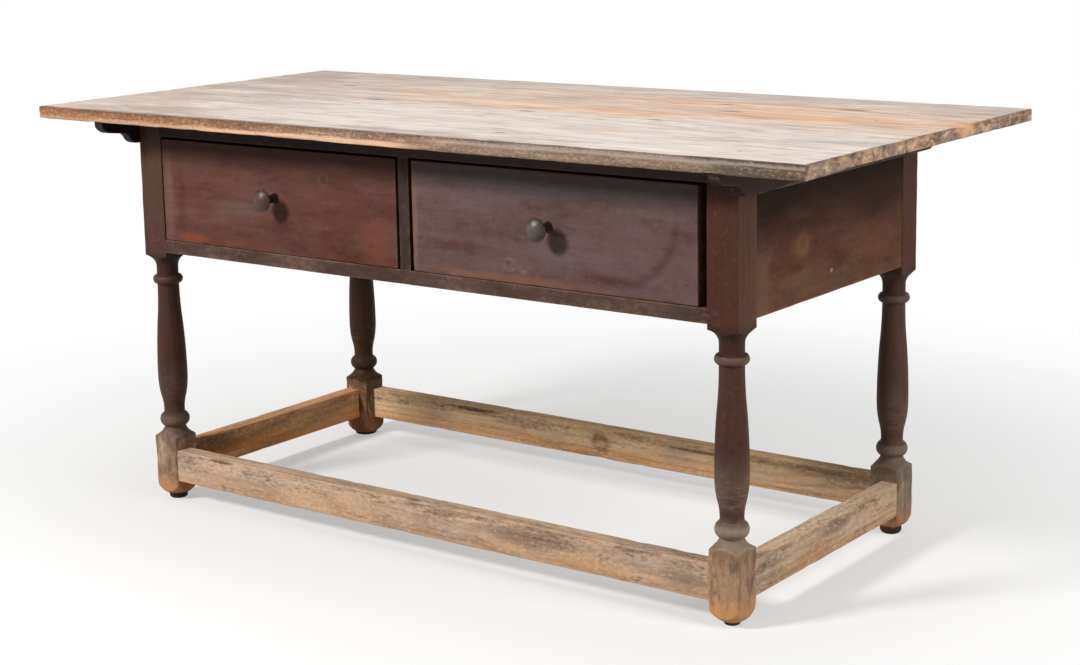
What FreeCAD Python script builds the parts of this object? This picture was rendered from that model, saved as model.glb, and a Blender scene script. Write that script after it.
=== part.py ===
import FreeCAD, Part
import math
import os

import Sketcher
from FreeCAD import Placement, Rotation, Vector

# Tavern table: a plank top on two battens over a frame with two drawers,
# four turned legs and a box of stretchers near the floor.
# X runs along the table, Y from its front to its back, Z up from the floor.

LENGTHS = {
    # top and battens
    "table_height": 737, "top_length": 1586, "top_width": 771, "top_thickness": 21,
    "front_board_width": 303, "middle_board_width": 268, "board_gap": 0.8,
    "end_overhang": 163, "side_overhang": 91,
    "batten_thickness": 20, "batten_depth": 47, "batten_end_inset": 4,
    "batten_nose_run": 23, "batten_land_run": 27, "batten_curve_run": 33,
    "batten_tip_depth": 6.5, "batten_nose_depth": 23, "batten_land_depth": 26.5,
    # frame, its levels counted down from the top
    "post_size": 55, "post_height": 253, "upper_rail_height": 32.5, "upper_rail_width": 44,
    "opening_height": 188.5, "lower_rail_height": 24, "lower_rail_width": 50,
    "apron_raise": 4.5, "apron_thickness": 22, "apron_inset": 1,
    "divider_width": 22, "divider_depth": 44, "divider_shift": -8, "divider_inset": 1,
    "stretcher_bottom": 38.5, "stretcher_height": 59.5, "stretcher_thickness": 31.5,
    "stretcher_inset": 3,
    # joints
    "tenon_thickness": 10, "tenon_length": 25, "rail_tenon_height": 12,
    "edge_shoulder": 10, "rail_shoulder": 6, "end_relief": 1, "fit_clearance": 0.2,
    "tongue_length": 9, "stub_length": 10,
    "peg_diameter": 8, "peg_length": 34, "rail_peg_diameter": 6,
    "top_peg_diameter": 9, "top_peg_length": 42, "batten_pin_diameter": 10,
    "batten_pin_length": 58, "nail_diameter": 4, "nail_grip": 14,
    # turned legs: the levels up to the belly are counted up from the floor
    "foot_rise": 8, "foot_height": 14, "rounding_height": 36.5, "block_top": 119.5,
    "flare_height": 19, "flare_radius": 26, "bead_height": 26, "hollow_height": 5, "belly_height": 67,
    "ring_height": 17.5, "neck_height": 14.5,
    "foot_base_radius": 14, "foot_radius": 19, "ankle_radius": 18,
    "bead_neck_radius": 19.2, "bead_radius": 27.2, "hollow_radius": 19,
    "belly_radius": 27.2, "vase_neck_radius": 19.8, "ring_radius": 27.2,
    "rounding_radius": 45,
    # drawers
    "left_drawer_left_gap": 1.2, "left_drawer_right_gap": 5.5,
    "right_drawer_left_gap": 6, "right_drawer_right_gap": 15, "drawer_top_gap": 4,
    "drawer_rear_gap": 55, "drawer_inset": 1, "run_clearance": 0.5,
    "front_thickness": 22, "side_thickness": 12, "side_drop": 6, "back_thickness": 12,
    "bottom_thickness": 8, "bottom_raise": 8, "groove_depth": 5, "lap_thickness": 6,
    "drawer_nail_diameter": 2.4, "drawer_nail_length": 26,
    "knob_radius": 19, "knob_rim_radius": 17, "knob_depth": 13, "knob_rim_height": 5,
    "knob_neck_length": 29, "knob_neck_radius": 7.5, "knob_seat_radius": 9.5,
    "knob_raise": 5, "shank_radius": 7, "shank_length": 26,
    # runners
    "ledge_overlap": 22, "guide_height": 20, "guide_gap": 1.5, "centre_ledge_width": 64,
    "kicker_width": 47, "centre_kicker_width": 44,
    "stop_width": 30, "stop_depth": 15, "stop_height": 6, "stop_gap": 0.5,
}

SHARES = {
    "blank_share": 0.78, "hollow_share": 0.42, "vase_share": 0.57,
    "low_peg_share": 0.27, "high_peg_share": 0.73, "board_peg_share": 0.25,
    "low_tenon_share": 0.42, "high_tenon_share": 0.58,
    "pin_share": 0.5, "pin_spread_share": 0.6, "nail_spread_share": 0.5,
    "stop_spread_share": 0.25, "tail_root_share": 0.62, "tail_tip_share": 0.8,
    "drawer_nail_share": 0.15,
}

FRONT_TAILS = 4
BACK_TAILS = 3

doc = FreeCAD.newDocument("TavernTable")
sheet = doc.addObject("Spreadsheet::Sheet", "Dimensions")
nodes = []


class Size:
    """A value from the sheet, or arithmetic on such values, with its expression."""

    def __init__(self, value, text):
        self.value = value
        self.text = text

    def join(self, other, sign, value):
        return Size(value, f"({self.text} {sign} {other.text})")

    def __add__(self, other):
        return self.join(as_size(other), "+", self.value + as_size(other).value)

    def __sub__(self, other):
        return self.join(as_size(other), "-", self.value - as_size(other).value)

    def __mul__(self, other):
        return self.join(as_size(other), "*", self.value * as_size(other).value)

    def __truediv__(self, other):
        return self.join(as_size(other), "/", self.value / as_size(other).value)

    def __neg__(self):
        return Size(-self.value, f"(0 - {self.text})")

    __radd__ = __add__
    __rmul__ = __mul__


def as_size(number):
    return number if isinstance(number, Size) else Size(number, repr(number))


def fill_sheet():
    """Write every length and share into the sheet and return them by name."""
    sizes = {}
    for row, (name, value) in enumerate({**LENGTHS, **SHARES}.items(), start=1):
        sheet.set(f"A{row}", name.replace("_", " "))
        sheet.set(f"B{row}", str(value))
        sheet.setAlias(f"B{row}", name)
        sizes[name] = Size(value, f"Dimensions.{name}")
    return sizes


class Dims:
    """The sheet's values as attributes."""

    def __init__(self, sizes):
        self.__dict__.update(sizes)


d = Dims(fill_sheet())
doc.recompute()
zero = as_size(0)

# levels and planes that several pieces share
half_length = d.top_length / 2 - d.end_overhang
half_width = d.top_width / 2 - d.side_overhang
post_x = half_length - d.post_size
post_y = half_width - d.post_size
top_under = d.table_height - d.top_thickness
post_bottom = top_under - d.post_height
upper_rail_bottom = top_under - d.upper_rail_height
rail_top = upper_rail_bottom - d.opening_height
rail_bottom = rail_top - d.lower_rail_height
apron_bottom = rail_bottom + d.apron_raise
apron_x = half_length - d.apron_inset - d.apron_thickness
apron_y = half_width - d.apron_inset - d.apron_thickness
divider_left = d.divider_shift - d.divider_width / 2
divider_right = d.divider_shift + d.divider_width / 2
drawer_bottom = rail_top + d.run_clearance
drawer_top = upper_rail_bottom - d.drawer_top_gap
drawer_face = -half_width + d.drawer_inset
drawer_rear = apron_y - d.drawer_rear_gap
left_drawer_x = (-post_x + d.left_drawer_left_gap, divider_left - d.left_drawer_right_gap)
right_drawer_x = (divider_right + d.right_drawer_left_gap, post_x - d.right_drawer_right_gap)
stretcher_top = d.stretcher_bottom + d.stretcher_height
peg_offset = d.tenon_length / 2


def bind(obj, prop, size):
    """Drive one property by its expression."""
    size = as_size(size)
    obj.setExpression(prop, size.text)


def put(obj, x, y, z, rotation=None):
    """Place an object, each coordinate driven."""
    obj.Placement = Placement(Vector(x.value, y.value, z.value), rotation or Rotation())
    for axis, size in zip("xyz", (x, y, z)):
        bind(obj, f"Placement.Base.{axis}", size)


def block(x, y, z):
    """A box between pairs of planes."""
    box = doc.addObject("Part::Box", "Block")
    for prop, (low, high) in zip(("Length", "Width", "Height"), (x, y, z)):
        bind(box, prop, high - low)
    put(box, x[0], y[0], z[0])
    return box


AXES = {"+x": Rotation(Vector(0, 1, 0), 90), "-x": Rotation(Vector(0, 1, 0), -90),
        "+y": Rotation(Vector(1, 0, 0), -90), "-y": Rotation(Vector(1, 0, 0), 90),
        "-z": Rotation(Vector(1, 0, 0), 180), "+z": Rotation()}


def rod(axis, x, y, z, diameter, length):
    """A round bar that starts at a point and runs along an axis."""
    bar = doc.addObject("Part::Cylinder", "Rod")
    bind(bar, "Radius", diameter / 2)
    bind(bar, "Height", length)
    put(bar, x, y, z, AXES[axis])
    return bar


def wedge(x, y, z_front, z_back):
    """A prism along Y whose height differs at its front and back faces."""
    tail = doc.addObject("Part::Wedge", "Tail")
    bind(tail, "Xmin", zero), bind(tail, "X2min", zero)
    bind(tail, "Xmax", x[1] - x[0]), bind(tail, "X2max", x[1] - x[0])
    bind(tail, "Ymin", zero), bind(tail, "Ymax", y[1] - y[0])
    bind(tail, "Zmin", z_front[0]), bind(tail, "Zmax", z_front[1])
    bind(tail, "Z2min", z_back[0]), bind(tail, "Z2max", z_back[1])
    put(tail, x[0], y[0], zero)
    return tail


def group(pieces):
    holder = doc.addObject("Part::Compound", "Group")
    holder.Links = pieces
    return holder


def fused(pieces):
    joined = doc.addObject("Part::MultiFuse", "Joined")
    joined.Shapes = pieces
    joined.Refine = True
    return joined


def cut(base, tools):
    result = doc.addObject("Part::Cut", "Cut")
    result.Base = base
    result.Tool = tools[0] if len(tools) == 1 else group(tools)
    return result


def mirrored(source, normal):
    twin = doc.addObject("Part::Mirroring", "Twin")
    twin.Source = source
    twin.Normal = normal
    return twin


def node(label, obj):
    obj.Label = label
    nodes.append(obj)
    return obj


def origin_plane(body, role):
    return next(item for item in body.Origin.OriginFeatures if item.Role == role)


def arc_edge(start, end, radius, turn):
    """An arc between two points, turning left (1) or right (-1) on the way."""
    chord = end - start
    half = chord.Length / 2
    rise = math.sqrt(max(radius * radius - half * half, 0.0))
    side = Vector(-chord.y, chord.x, 0).normalize() * rise * turn
    centre = start + chord / 2 + side
    angles = [math.atan2(p.y - centre.y, p.x - centre.x) for p in (start, end)]
    if turn < 0:
        angles.reverse()
    circle = Part.Circle(centre, Vector(0, 0, 1), radius)
    return Part.ArcOfCircle(circle, angles[0], angles[1] + (2 * math.pi if angles[1] < angles[0] else 0))


def outline(body, role, corners):
    """A closed sketch on a plane of the body.

    Each corner is (across, up, bend): bend is None for a straight edge to the
    next corner, or (radius, turn) for an arc.
    """
    sketch = body.newObject("Sketcher::SketchObject", "Outline")
    sketch.AttachmentSupport = [(origin_plane(body, role), "")]
    sketch.MapMode = "FlatFace"
    points = [Vector(across.value, up.value, 0) for across, up, _ in corners]
    ends = []
    for index, (_, _, bend) in enumerate(corners):
        start, end = points[index], points[(index + 1) % len(points)]
        if bend is None:
            ends.append((sketch.addGeometry(Part.LineSegment(start, end)), 1, 2))
        else:
            radius, turn = bend
            edge = sketch.addGeometry(arc_edge(start, end, radius.value, turn))
            ends.append((edge, 1, 2) if turn > 0 else (edge, 2, 1))
    driven = []
    for index, (across, up, bend) in enumerate(corners):
        edge, first, last = ends[index]
        following = ends[(index + 1) % len(ends)]
        sketch.addConstraint(Sketcher.Constraint("Coincident", edge, last, following[0], following[1]))
        for kind, size, axis in (("DistanceX", across, -2), ("DistanceY", up, -1)):
            if size is zero:
                sketch.addConstraint(Sketcher.Constraint("PointOnObject", edge, first, axis))
            else:
                number = sketch.addConstraint(Sketcher.Constraint(kind, edge, first, size.value))
                driven.append((number, size))
        if bend is not None:
            number = sketch.addConstraint(Sketcher.Constraint("Radius", edge, bend[0].value))
            driven.append((number, bend[0]))
    for number, size in driven:
        sketch.setExpression(f"Constraints[{number}]", size.text)
    return sketch


def turned(corners):
    """A body of revolution about its own Z axis."""
    body = doc.addObject("PartDesign::Body", "Turned")
    sketch = outline(body, "XZ_Plane", corners)
    turning = body.newObject("PartDesign::Revolution", "Turning")
    turning.Profile = sketch
    turning.ReferenceAxis = (sketch, ["V_Axis"])
    turning.Angle = 360
    sketch.Visibility = False
    body.Tip = turning
    return body


def bulge(chord, rise):
    """Radius of an arc from its chord and its height over the chord."""
    return (chord * chord / 4 + rise * rise) / (rise * 2)


def easing(run, step):
    """Radius of an arc that starts parallel to the run and leaves it by a step."""
    return (run * run + step * step) / (step * 2)


def leg_outline():
    """Half of the leg's turning, from the floor up."""
    blank = d.post_size * d.blank_share
    foot_top = d.foot_height
    bead_low = d.block_top + d.flare_height
    bead_high = bead_low + d.bead_height
    hollow = bead_high + d.hollow_height
    belly = hollow + d.belly_height
    cove = blank - d.vase_neck_radius
    neck_top = post_bottom - cove
    ring_top = neck_top - d.neck_height
    vase_top = ring_top - d.ring_height
    vase_height = vase_top - belly
    low_radius = (d.hollow_radius + d.belly_radius) / 2
    low_run = d.belly_height * d.hollow_share
    low_rest = d.belly_height - low_run
    high_radius = (d.belly_radius + d.vase_neck_radius) / 2
    high_run = vase_height * d.vase_share
    high_rest = vase_height - high_run
    low_step = low_radius - d.hollow_radius
    high_step = d.belly_radius - high_radius
    return [
        (zero, zero, None),
        (d.foot_base_radius, zero, (easing(d.foot_rise, d.foot_radius - d.foot_base_radius), 1)),
        (d.foot_radius, d.foot_rise, None),
        (d.ankle_radius, foot_top, (d.rounding_radius, 1)),
        (blank, foot_top + d.rounding_height, None),
        (blank, d.block_top, (d.flare_radius, -1)),
        (d.bead_neck_radius, bead_low, (bulge(d.bead_height, d.bead_radius - d.bead_neck_radius), 1)),
        (d.bead_neck_radius, bead_high, None),
        (d.hollow_radius, hollow, (easing(low_run, low_step), -1)),
        (low_radius, hollow + low_run, (easing(low_rest, low_step), 1)),
        (d.belly_radius, belly, (easing(high_run, high_step), 1)),
        (high_radius, belly + high_run, (easing(high_rest, high_step), -1)),
        (d.vase_neck_radius, vase_top, (bulge(d.ring_height, d.ring_radius - d.vase_neck_radius), 1)),
        (d.vase_neck_radius, ring_top, None),
        (d.vase_neck_radius, neck_top, (cove, -1)),
        (blank, post_bottom, None),
        (blank, top_under, None),
        (zero, top_under, None),
    ]


def span(start, length):
    return (start, start + length)


def centred(low, high, thickness):
    middle = (low + high) / 2
    return (middle - thickness / 2, middle + thickness / 2)


def loose(pair):
    return (pair[0] - d.fit_clearance, pair[1] + d.fit_clearance)


def flip(pair):
    return (-pair[1], -pair[0])


# tenon sections that legs and their neighbours share
apron_tenon_x = centred(apron_x, apron_x + d.apron_thickness, d.tenon_thickness)
apron_tenon_y = centred(apron_y, apron_y + d.apron_thickness, d.tenon_thickness)
apron_height = top_under - apron_bottom
low_tenon_z = (apron_bottom + d.edge_shoulder, apron_bottom + apron_height * d.low_tenon_share)
high_tenon_z = (apron_bottom + apron_height * d.high_tenon_share, top_under - d.edge_shoulder)
stretcher_x = (half_length - d.stretcher_inset - d.stretcher_thickness, half_length - d.stretcher_inset)
stretcher_y = (half_width - d.stretcher_inset - d.stretcher_thickness, half_width - d.stretcher_inset)
stretcher_tenon_x = centred(*stretcher_x, d.tenon_thickness)
stretcher_tenon_y = centred(*stretcher_y, d.tenon_thickness)
stretcher_tenon_z = (d.stretcher_bottom + d.rail_shoulder, stretcher_top - d.rail_shoulder)
lower_rail_y = (-half_width, -half_width + d.lower_rail_width)
upper_rail_y = (-half_width, -half_width + d.upper_rail_width)
lower_tenon_y = (lower_rail_y[0] + d.edge_shoulder, lower_rail_y[1] - d.edge_shoulder)
upper_tenon_y = (upper_rail_y[0] + d.edge_shoulder, upper_rail_y[1] - d.edge_shoulder)
lower_tenon_z = centred(rail_bottom, rail_top, d.rail_tenon_height)
upper_tenon_z = centred(upper_rail_bottom, top_under, d.rail_tenon_height)
stretcher_peg_levels = (d.stretcher_bottom + d.stretcher_height * d.low_peg_share,
                        d.stretcher_bottom + d.stretcher_height * d.high_peg_share)
apron_peg_levels = ((low_tenon_z[0] + low_tenon_z[1]) / 2, (high_tenon_z[0] + high_tenon_z[1]) / 2)
rail_peg_levels = ((lower_tenon_z[0] + lower_tenon_z[1]) / 2, (upper_tenon_z[0] + upper_tenon_z[1]) / 2)
peg_x = post_x + peg_offset
peg_y = post_y + peg_offset
deep_x = (post_x, post_x + d.tenon_length + d.end_relief)
deep_y = (post_y, post_y + d.tenon_length + d.end_relief)
reach_x = (post_x, post_x + d.tenon_length)
reach_y = (post_y, post_y + d.tenon_length)


def pegs_along_y(levels, diameter, front):
    """Pegs of the right half, driven from the front or the back face."""
    start = -half_width if front else half_width
    axis = "+y" if front else "-y"
    return [rod(axis, peg_x, start, level, diameter, d.peg_length) for level in levels]


def pegs_along_x(levels, y):
    """Pegs of the right half, driven from the end face."""
    return [rod("-x", half_length, y, level, d.peg_diameter, d.peg_length) for level in levels]


hole = d.peg_diameter + d.fit_clearance * 2
rail_hole = d.rail_peg_diameter + d.fit_clearance * 2

leg_body = turned(leg_outline())
put(leg_body, half_length - d.post_size / 2, -half_width + d.post_size / 2, zero)
square = block((post_x, half_length), (-half_width, -post_y), (zero, top_under))
front_blank = doc.addObject("Part::Common", "FrontBlank")
front_blank.Base = square
front_blank.Tool = leg_body
back_blank = mirrored(front_blank, Vector(0, 1, 0))


def holes_along_y(levels, diameter, front):
    start = -half_width if front else half_width
    return [rod("+y" if front else "-y", peg_x, start, level, diameter,
                d.peg_length + d.end_relief) for level in levels]


def holes_along_x(levels, y):
    return [rod("-x", half_length, y, level, hole, d.peg_length + d.end_relief) for level in levels]


front_leg_cuts = [
    block(deep_x, loose(lower_tenon_y), loose(lower_tenon_z)),
    block(deep_x, loose(upper_tenon_y), loose(upper_tenon_z)),
    block(deep_x, loose(flip(stretcher_tenon_y)), loose(stretcher_tenon_z)),
    block(loose(stretcher_tenon_x), flip(deep_y), loose(stretcher_tenon_z)),
    block(loose(apron_tenon_x), flip(deep_y), loose(low_tenon_z)),
    block(loose(apron_tenon_x), flip(deep_y), loose(high_tenon_z)),
    *holes_along_y(rail_peg_levels, rail_hole, True),
    *holes_along_y(stretcher_peg_levels, hole, True),
    *holes_along_x(stretcher_peg_levels + apron_peg_levels, -peg_y),
]
back_leg_cuts = [
    block(deep_x, loose(apron_tenon_y), loose(low_tenon_z)),
    block(deep_x, loose(apron_tenon_y), loose(high_tenon_z)),
    block(deep_x, loose(stretcher_tenon_y), loose(stretcher_tenon_z)),
    block(loose(stretcher_tenon_x), deep_y, loose(stretcher_tenon_z)),
    block(loose(apron_tenon_x), deep_y, loose(low_tenon_z)),
    block(loose(apron_tenon_x), deep_y, loose(high_tenon_z)),
    *holes_along_y(stretcher_peg_levels + apron_peg_levels, hole, False),
    *holes_along_x(stretcher_peg_levels + apron_peg_levels, peg_y),
]
front_right_leg = node("front_right_leg", cut(front_blank, front_leg_cuts))
back_right_leg = node("back_right_leg", cut(back_blank, back_leg_cuts))
node("front_left_leg", mirrored(front_right_leg, Vector(1, 0, 0)))
node("back_left_leg", mirrored(back_right_leg, Vector(1, 0, 0)))

rail_pegs = pegs_along_y(rail_peg_levels, d.rail_peg_diameter, True)
front_stretcher_pegs = pegs_along_y(stretcher_peg_levels, d.peg_diameter, True)
back_stretcher_pegs = pegs_along_y(stretcher_peg_levels, d.peg_diameter, False)
back_apron_pegs = pegs_along_y(apron_peg_levels, d.peg_diameter, False)
end_stretcher_pegs = [peg for y in (-peg_y, peg_y) for peg in pegs_along_x(stretcher_peg_levels, y)]
end_apron_pegs = [peg for y in (-peg_y, peg_y) for peg in pegs_along_x(apron_peg_levels, y)]


def peg_node(label, pegs):
    """Pegs of the right half with their twins of the left half, as one node."""
    node(label, group(pegs + [mirrored(peg, Vector(1, 0, 0)) for peg in pegs]))


peg_node("rail_pegs", rail_pegs)
peg_node("apron_pegs", back_apron_pegs + end_apron_pegs)
peg_node("stretcher_pegs", front_stretcher_pegs + back_stretcher_pegs + end_stretcher_pegs)


def both_ends(pair_of_blocks):
    """Blocks of the right half and their twins of the left half."""
    return pair_of_blocks + [mirrored(piece, Vector(1, 0, 0)) for piece in pair_of_blocks]


def long_bar(y, z, tenons, holes):
    """A bar between the left and right posts, with a tenon at each end."""
    body = block((-post_x, post_x), y, z)
    ends = both_ends([block(reach_x, tenon_y, tenon_z) for tenon_y, tenon_z in tenons])
    return cut(fused([body] + ends), both_ends(holes))


def end_bar(x, z, tenons, holes):
    """A bar between the front and back posts of the right end."""
    body = block(x, (-post_y, post_y), z)
    ends = [block(tenon_x, reach, tenon_z)
            for tenon_x, tenon_z in tenons for reach in (reach_y, flip(reach_y))]
    return cut(fused([body] + ends), holes)


lower_rail = long_bar(lower_rail_y, (rail_bottom, rail_top), [(lower_tenon_y, lower_tenon_z)],
                      holes_along_y(rail_peg_levels[:1], rail_hole, True))
upper_rail = long_bar(upper_rail_y, (upper_rail_bottom, top_under), [(upper_tenon_y, upper_tenon_z)],
                      holes_along_y(rail_peg_levels[1:], rail_hole, True))
back_apron = long_bar((apron_y, apron_y + d.apron_thickness), (apron_bottom, top_under),
                      [(apron_tenon_y, low_tenon_z), (apron_tenon_y, high_tenon_z)],
                      holes_along_y(apron_peg_levels, hole, False))
node("front_stretcher", long_bar(flip(stretcher_y), (d.stretcher_bottom, stretcher_top),
                                 [(flip(stretcher_tenon_y), stretcher_tenon_z)],
                                 holes_along_y(stretcher_peg_levels, hole, True)))
node("back_stretcher", long_bar(stretcher_y, (d.stretcher_bottom, stretcher_top),
                                [(stretcher_tenon_y, stretcher_tenon_z)],
                                holes_along_y(stretcher_peg_levels, hole, False)))
right_stretcher = node("right_stretcher", end_bar(
    stretcher_x, (d.stretcher_bottom, stretcher_top), [(stretcher_tenon_x, stretcher_tenon_z)],
    holes_along_x(stretcher_peg_levels, -peg_y) + holes_along_x(stretcher_peg_levels, peg_y)))
node("left_stretcher", mirrored(right_stretcher, Vector(1, 0, 0)))

# drawer divider, stubbed into both rails
divider_x = (divider_left, divider_right)
divider_y = span(-half_width + d.divider_inset, d.divider_depth)
stub_x = centred(divider_left, divider_right, d.tenon_thickness)
stub_y = (divider_y[0] + d.edge_shoulder, divider_y[1] - d.edge_shoulder)
node("drawer_divider", fused([
    block(divider_x, divider_y, (rail_top, upper_rail_bottom)),
    block(stub_x, stub_y, (rail_top - d.stub_length, upper_rail_bottom + d.stub_length))]))
stub_depth = d.stub_length + d.end_relief
divider_mortises = [
    block(loose(stub_x), loose(stub_y), (rail_top - stub_depth, rail_top)),
    block(loose(stub_x), loose(stub_y), (upper_rail_bottom, upper_rail_bottom + stub_depth))]

# centre runner and kicker, with tongues into the rails and the back apron
guide_left = left_drawer_x[1] + d.guide_gap
guide_right = right_drawer_x[0] - d.guide_gap
centre_ledge_x = centred(guide_left, guide_right, d.centre_ledge_width)
tongue_x = centred(guide_left, guide_right, d.tenon_thickness)
runner_tongue_z = centred(rail_bottom, rail_top, d.tenon_thickness)
kicker_tongue_z = centred(upper_rail_bottom, top_under, d.tenon_thickness)
runner_y = (lower_rail_y[1], apron_y)
kicker_y = (upper_rail_y[1], apron_y)
centre_kicker_x = centred(guide_left, guide_right, d.centre_kicker_width)
runner_tongue_y = (runner_y[0] - d.tongue_length, runner_y[1] + d.tongue_length)
kicker_tongue_y = (kicker_y[0] - d.tongue_length, kicker_y[1] + d.tongue_length)
node("centre_runner", fused([
    block(centre_ledge_x, runner_y, (rail_bottom, rail_top)),
    block((guide_left, guide_right), runner_y, span(rail_top, d.guide_height)),
    block(tongue_x, runner_tongue_y, runner_tongue_z)]))
node("centre_kicker", fused([
    block(centre_kicker_x, kicker_y, (upper_rail_bottom, top_under)),
    block(tongue_x, kicker_tongue_y, kicker_tongue_z)]))
runner_slot = block(loose(tongue_x), (runner_tongue_y[0] - d.end_relief, runner_tongue_y[1] + d.end_relief),
                    loose(runner_tongue_z))
kicker_slot = block(loose(tongue_x), (kicker_tongue_y[0] - d.end_relief, kicker_tongue_y[1] + d.end_relief),
                    loose(kicker_tongue_z))
node("lower_front_rail", cut(lower_rail, [divider_mortises[0], runner_slot]))
node("upper_front_rail", cut(upper_rail, [divider_mortises[1], kicker_slot]))
node("back_apron", cut(back_apron, [runner_slot, kicker_slot]))

# end aprons, side runners and side kickers, nailed together
runner_nail_z = rail_top + d.guide_height / 2
kicker_nail_z = (upper_rail_bottom + top_under) / 2
nail_spread = post_y * d.nail_spread_share
side_y = (-post_y, post_y)
right_guide_x = right_drawer_x[1] + d.guide_gap
left_guide_x = left_drawer_x[0] - d.guide_gap
nail_hole = d.nail_diameter + d.fit_clearance * 2
kicker_x = (apron_x - d.kicker_width, apron_x)
pin_spread = post_y * d.pin_spread_share
pin_level = top_under - d.batten_depth * d.pin_share
pin_hole = d.batten_pin_diameter + d.fit_clearance * 2
pin_start = half_length + d.batten_thickness
pins = [rod("-x", pin_start, y, pin_level, d.batten_pin_diameter, d.batten_pin_length)
        for y in (-pin_spread, pin_spread)]
pin_holes = [rod("-x", pin_start, y, pin_level, pin_hole, d.batten_pin_length + d.end_relief)
             for y in (-pin_spread, pin_spread)]
peg_node("batten_pins", pins)


def side_nails(guide_x, kicker_edge, diameter):
    """Nails from a guide and a kicker out into the apron of the right end."""
    nails = []
    for y in (-nail_spread, nail_spread):
        for start, level in ((guide_x, runner_nail_z), (kicker_edge, kicker_nail_z)):
            nails.append(rod("+x", start, y, level, diameter, apron_x + d.nail_grip - start))
    return nails


def side_runner(ledge_edge, guide_edge, bores):
    return cut(fused([
        block((ledge_edge, apron_x), side_y, (rail_bottom, rail_top)),
        block((guide_edge, apron_x), side_y, span(rail_top, d.guide_height))]), bores)


right_ledge_edge = right_drawer_x[1] - d.ledge_overlap
left_ledge_edge = -left_drawer_x[0] - d.ledge_overlap
right_nails = side_nails(right_guide_x, kicker_x[0], d.nail_diameter)
left_nails = side_nails(-left_guide_x, kicker_x[0], d.nail_diameter)
right_bores = side_nails(right_guide_x, kicker_x[0], nail_hole)
left_bores = side_nails(-left_guide_x, kicker_x[0], nail_hole)
end_apron = end_bar((apron_x, apron_x + d.apron_thickness), (apron_bottom, top_under),
                    [(apron_tenon_x, low_tenon_z), (apron_tenon_x, high_tenon_z)],
                    holes_along_x(apron_peg_levels, -peg_y) + holes_along_x(apron_peg_levels, peg_y))
left_side = mirrored(end_apron, Vector(1, 0, 0))
left_bore_twins = [mirrored(bore, Vector(1, 0, 0)) for bore in left_bores]
pin_hole_twins = [mirrored(bore, Vector(1, 0, 0)) for bore in pin_holes]
node("right_apron", cut(end_apron, right_bores + pin_holes))
node("left_apron", cut(left_side, left_bore_twins + pin_hole_twins))
node("right_runner", side_runner(right_ledge_edge, right_guide_x, right_bores))
node("left_runner", mirrored(side_runner(left_ledge_edge, -left_guide_x, left_bores), Vector(1, 0, 0)))
right_kicker = cut(block(kicker_x, side_y, (upper_rail_bottom, top_under)), right_bores + pin_holes)
node("right_kicker", right_kicker)
node("left_kicker", mirrored(right_kicker, Vector(1, 0, 0)))
node("frame_nails", group(right_nails + [mirrored(nail, Vector(1, 0, 0)) for nail in left_nails]))

# drawer stops on the lower rail
stop_y = span(drawer_face + d.front_thickness + d.stop_gap, d.stop_depth)
stops = []
for start, end in (left_drawer_x, right_drawer_x):
    stop_inset = (end - start) * d.stop_spread_share
    for middle in (start + stop_inset, end - stop_inset):
        stops.append(block(centred(middle, middle, d.stop_width), stop_y, span(rail_top, d.stop_height)))
node("drawer_stops", group(stops))

# top: three planks on two battens
top_x = (-d.top_length / 2, d.top_length / 2)
front_edge = -d.top_width / 2
middle_start = front_edge + d.front_board_width + d.board_gap
back_start = middle_start + d.middle_board_width + d.board_gap
boards = {"top_front_board": (front_edge, front_edge + d.front_board_width),
          "top_middle_board": (middle_start, middle_start + d.middle_board_width),
          "top_back_board": (back_start, d.top_width / 2)}
batten_middle = half_length + d.batten_thickness / 2
top_peg_spots = []
for low, high in boards.values():
    margin = (high - low) * d.board_peg_share
    top_peg_spots += [low + margin, high - margin]
top_pegs = [rod("-z", batten_middle, y, d.table_height, d.top_peg_diameter, d.top_peg_length)
            for y in top_peg_spots]
top_hole = d.top_peg_diameter + d.fit_clearance * 2
top_holes = [rod("-z", batten_middle, y, d.table_height, top_hole, d.top_peg_length + d.end_relief)
             for y in top_peg_spots]
top_hole_twins = [mirrored(bore, Vector(1, 0, 0)) for bore in top_holes]
for index, (label, y) in enumerate(boards.items()):
    own = slice(index * 2, index * 2 + 2)
    node(label, cut(block(top_x, y, (top_under, d.table_height)), top_holes[own] + top_hole_twins[own]))
peg_node("top_pegs", top_pegs)


def batten_outline():
    """Side view of a batten, from its front tip, its upper edge at the top."""
    reach = d.top_width - d.batten_end_inset * 2
    upper = d.batten_depth
    nose = d.batten_nose_run
    land = nose + d.batten_land_run
    full = land + d.batten_curve_run
    middle = land + d.batten_curve_run / 2
    tip_level = upper - d.batten_tip_depth
    nose_level = upper - d.batten_nose_depth
    land_level = upper - d.batten_land_depth
    middle_level = land_level / 2
    nose_bend = easing(nose, tip_level - nose_level)
    curve_bend = easing(d.batten_curve_run / 2, middle_level)
    return [
        (zero, upper, None),
        (zero, tip_level, (nose_bend, 1)),
        (nose, nose_level, None),
        (land, land_level, (curve_bend, -1)),
        (middle, middle_level, (curve_bend, 1)),
        (full, zero, None),
        (reach - full, zero, (curve_bend, 1)),
        (reach - middle, middle_level, (curve_bend, -1)),
        (reach - land, land_level, None),
        (reach - nose, nose_level, (nose_bend, 1)),
        (reach, tip_level, None),
        (reach, upper, None),
    ]


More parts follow.
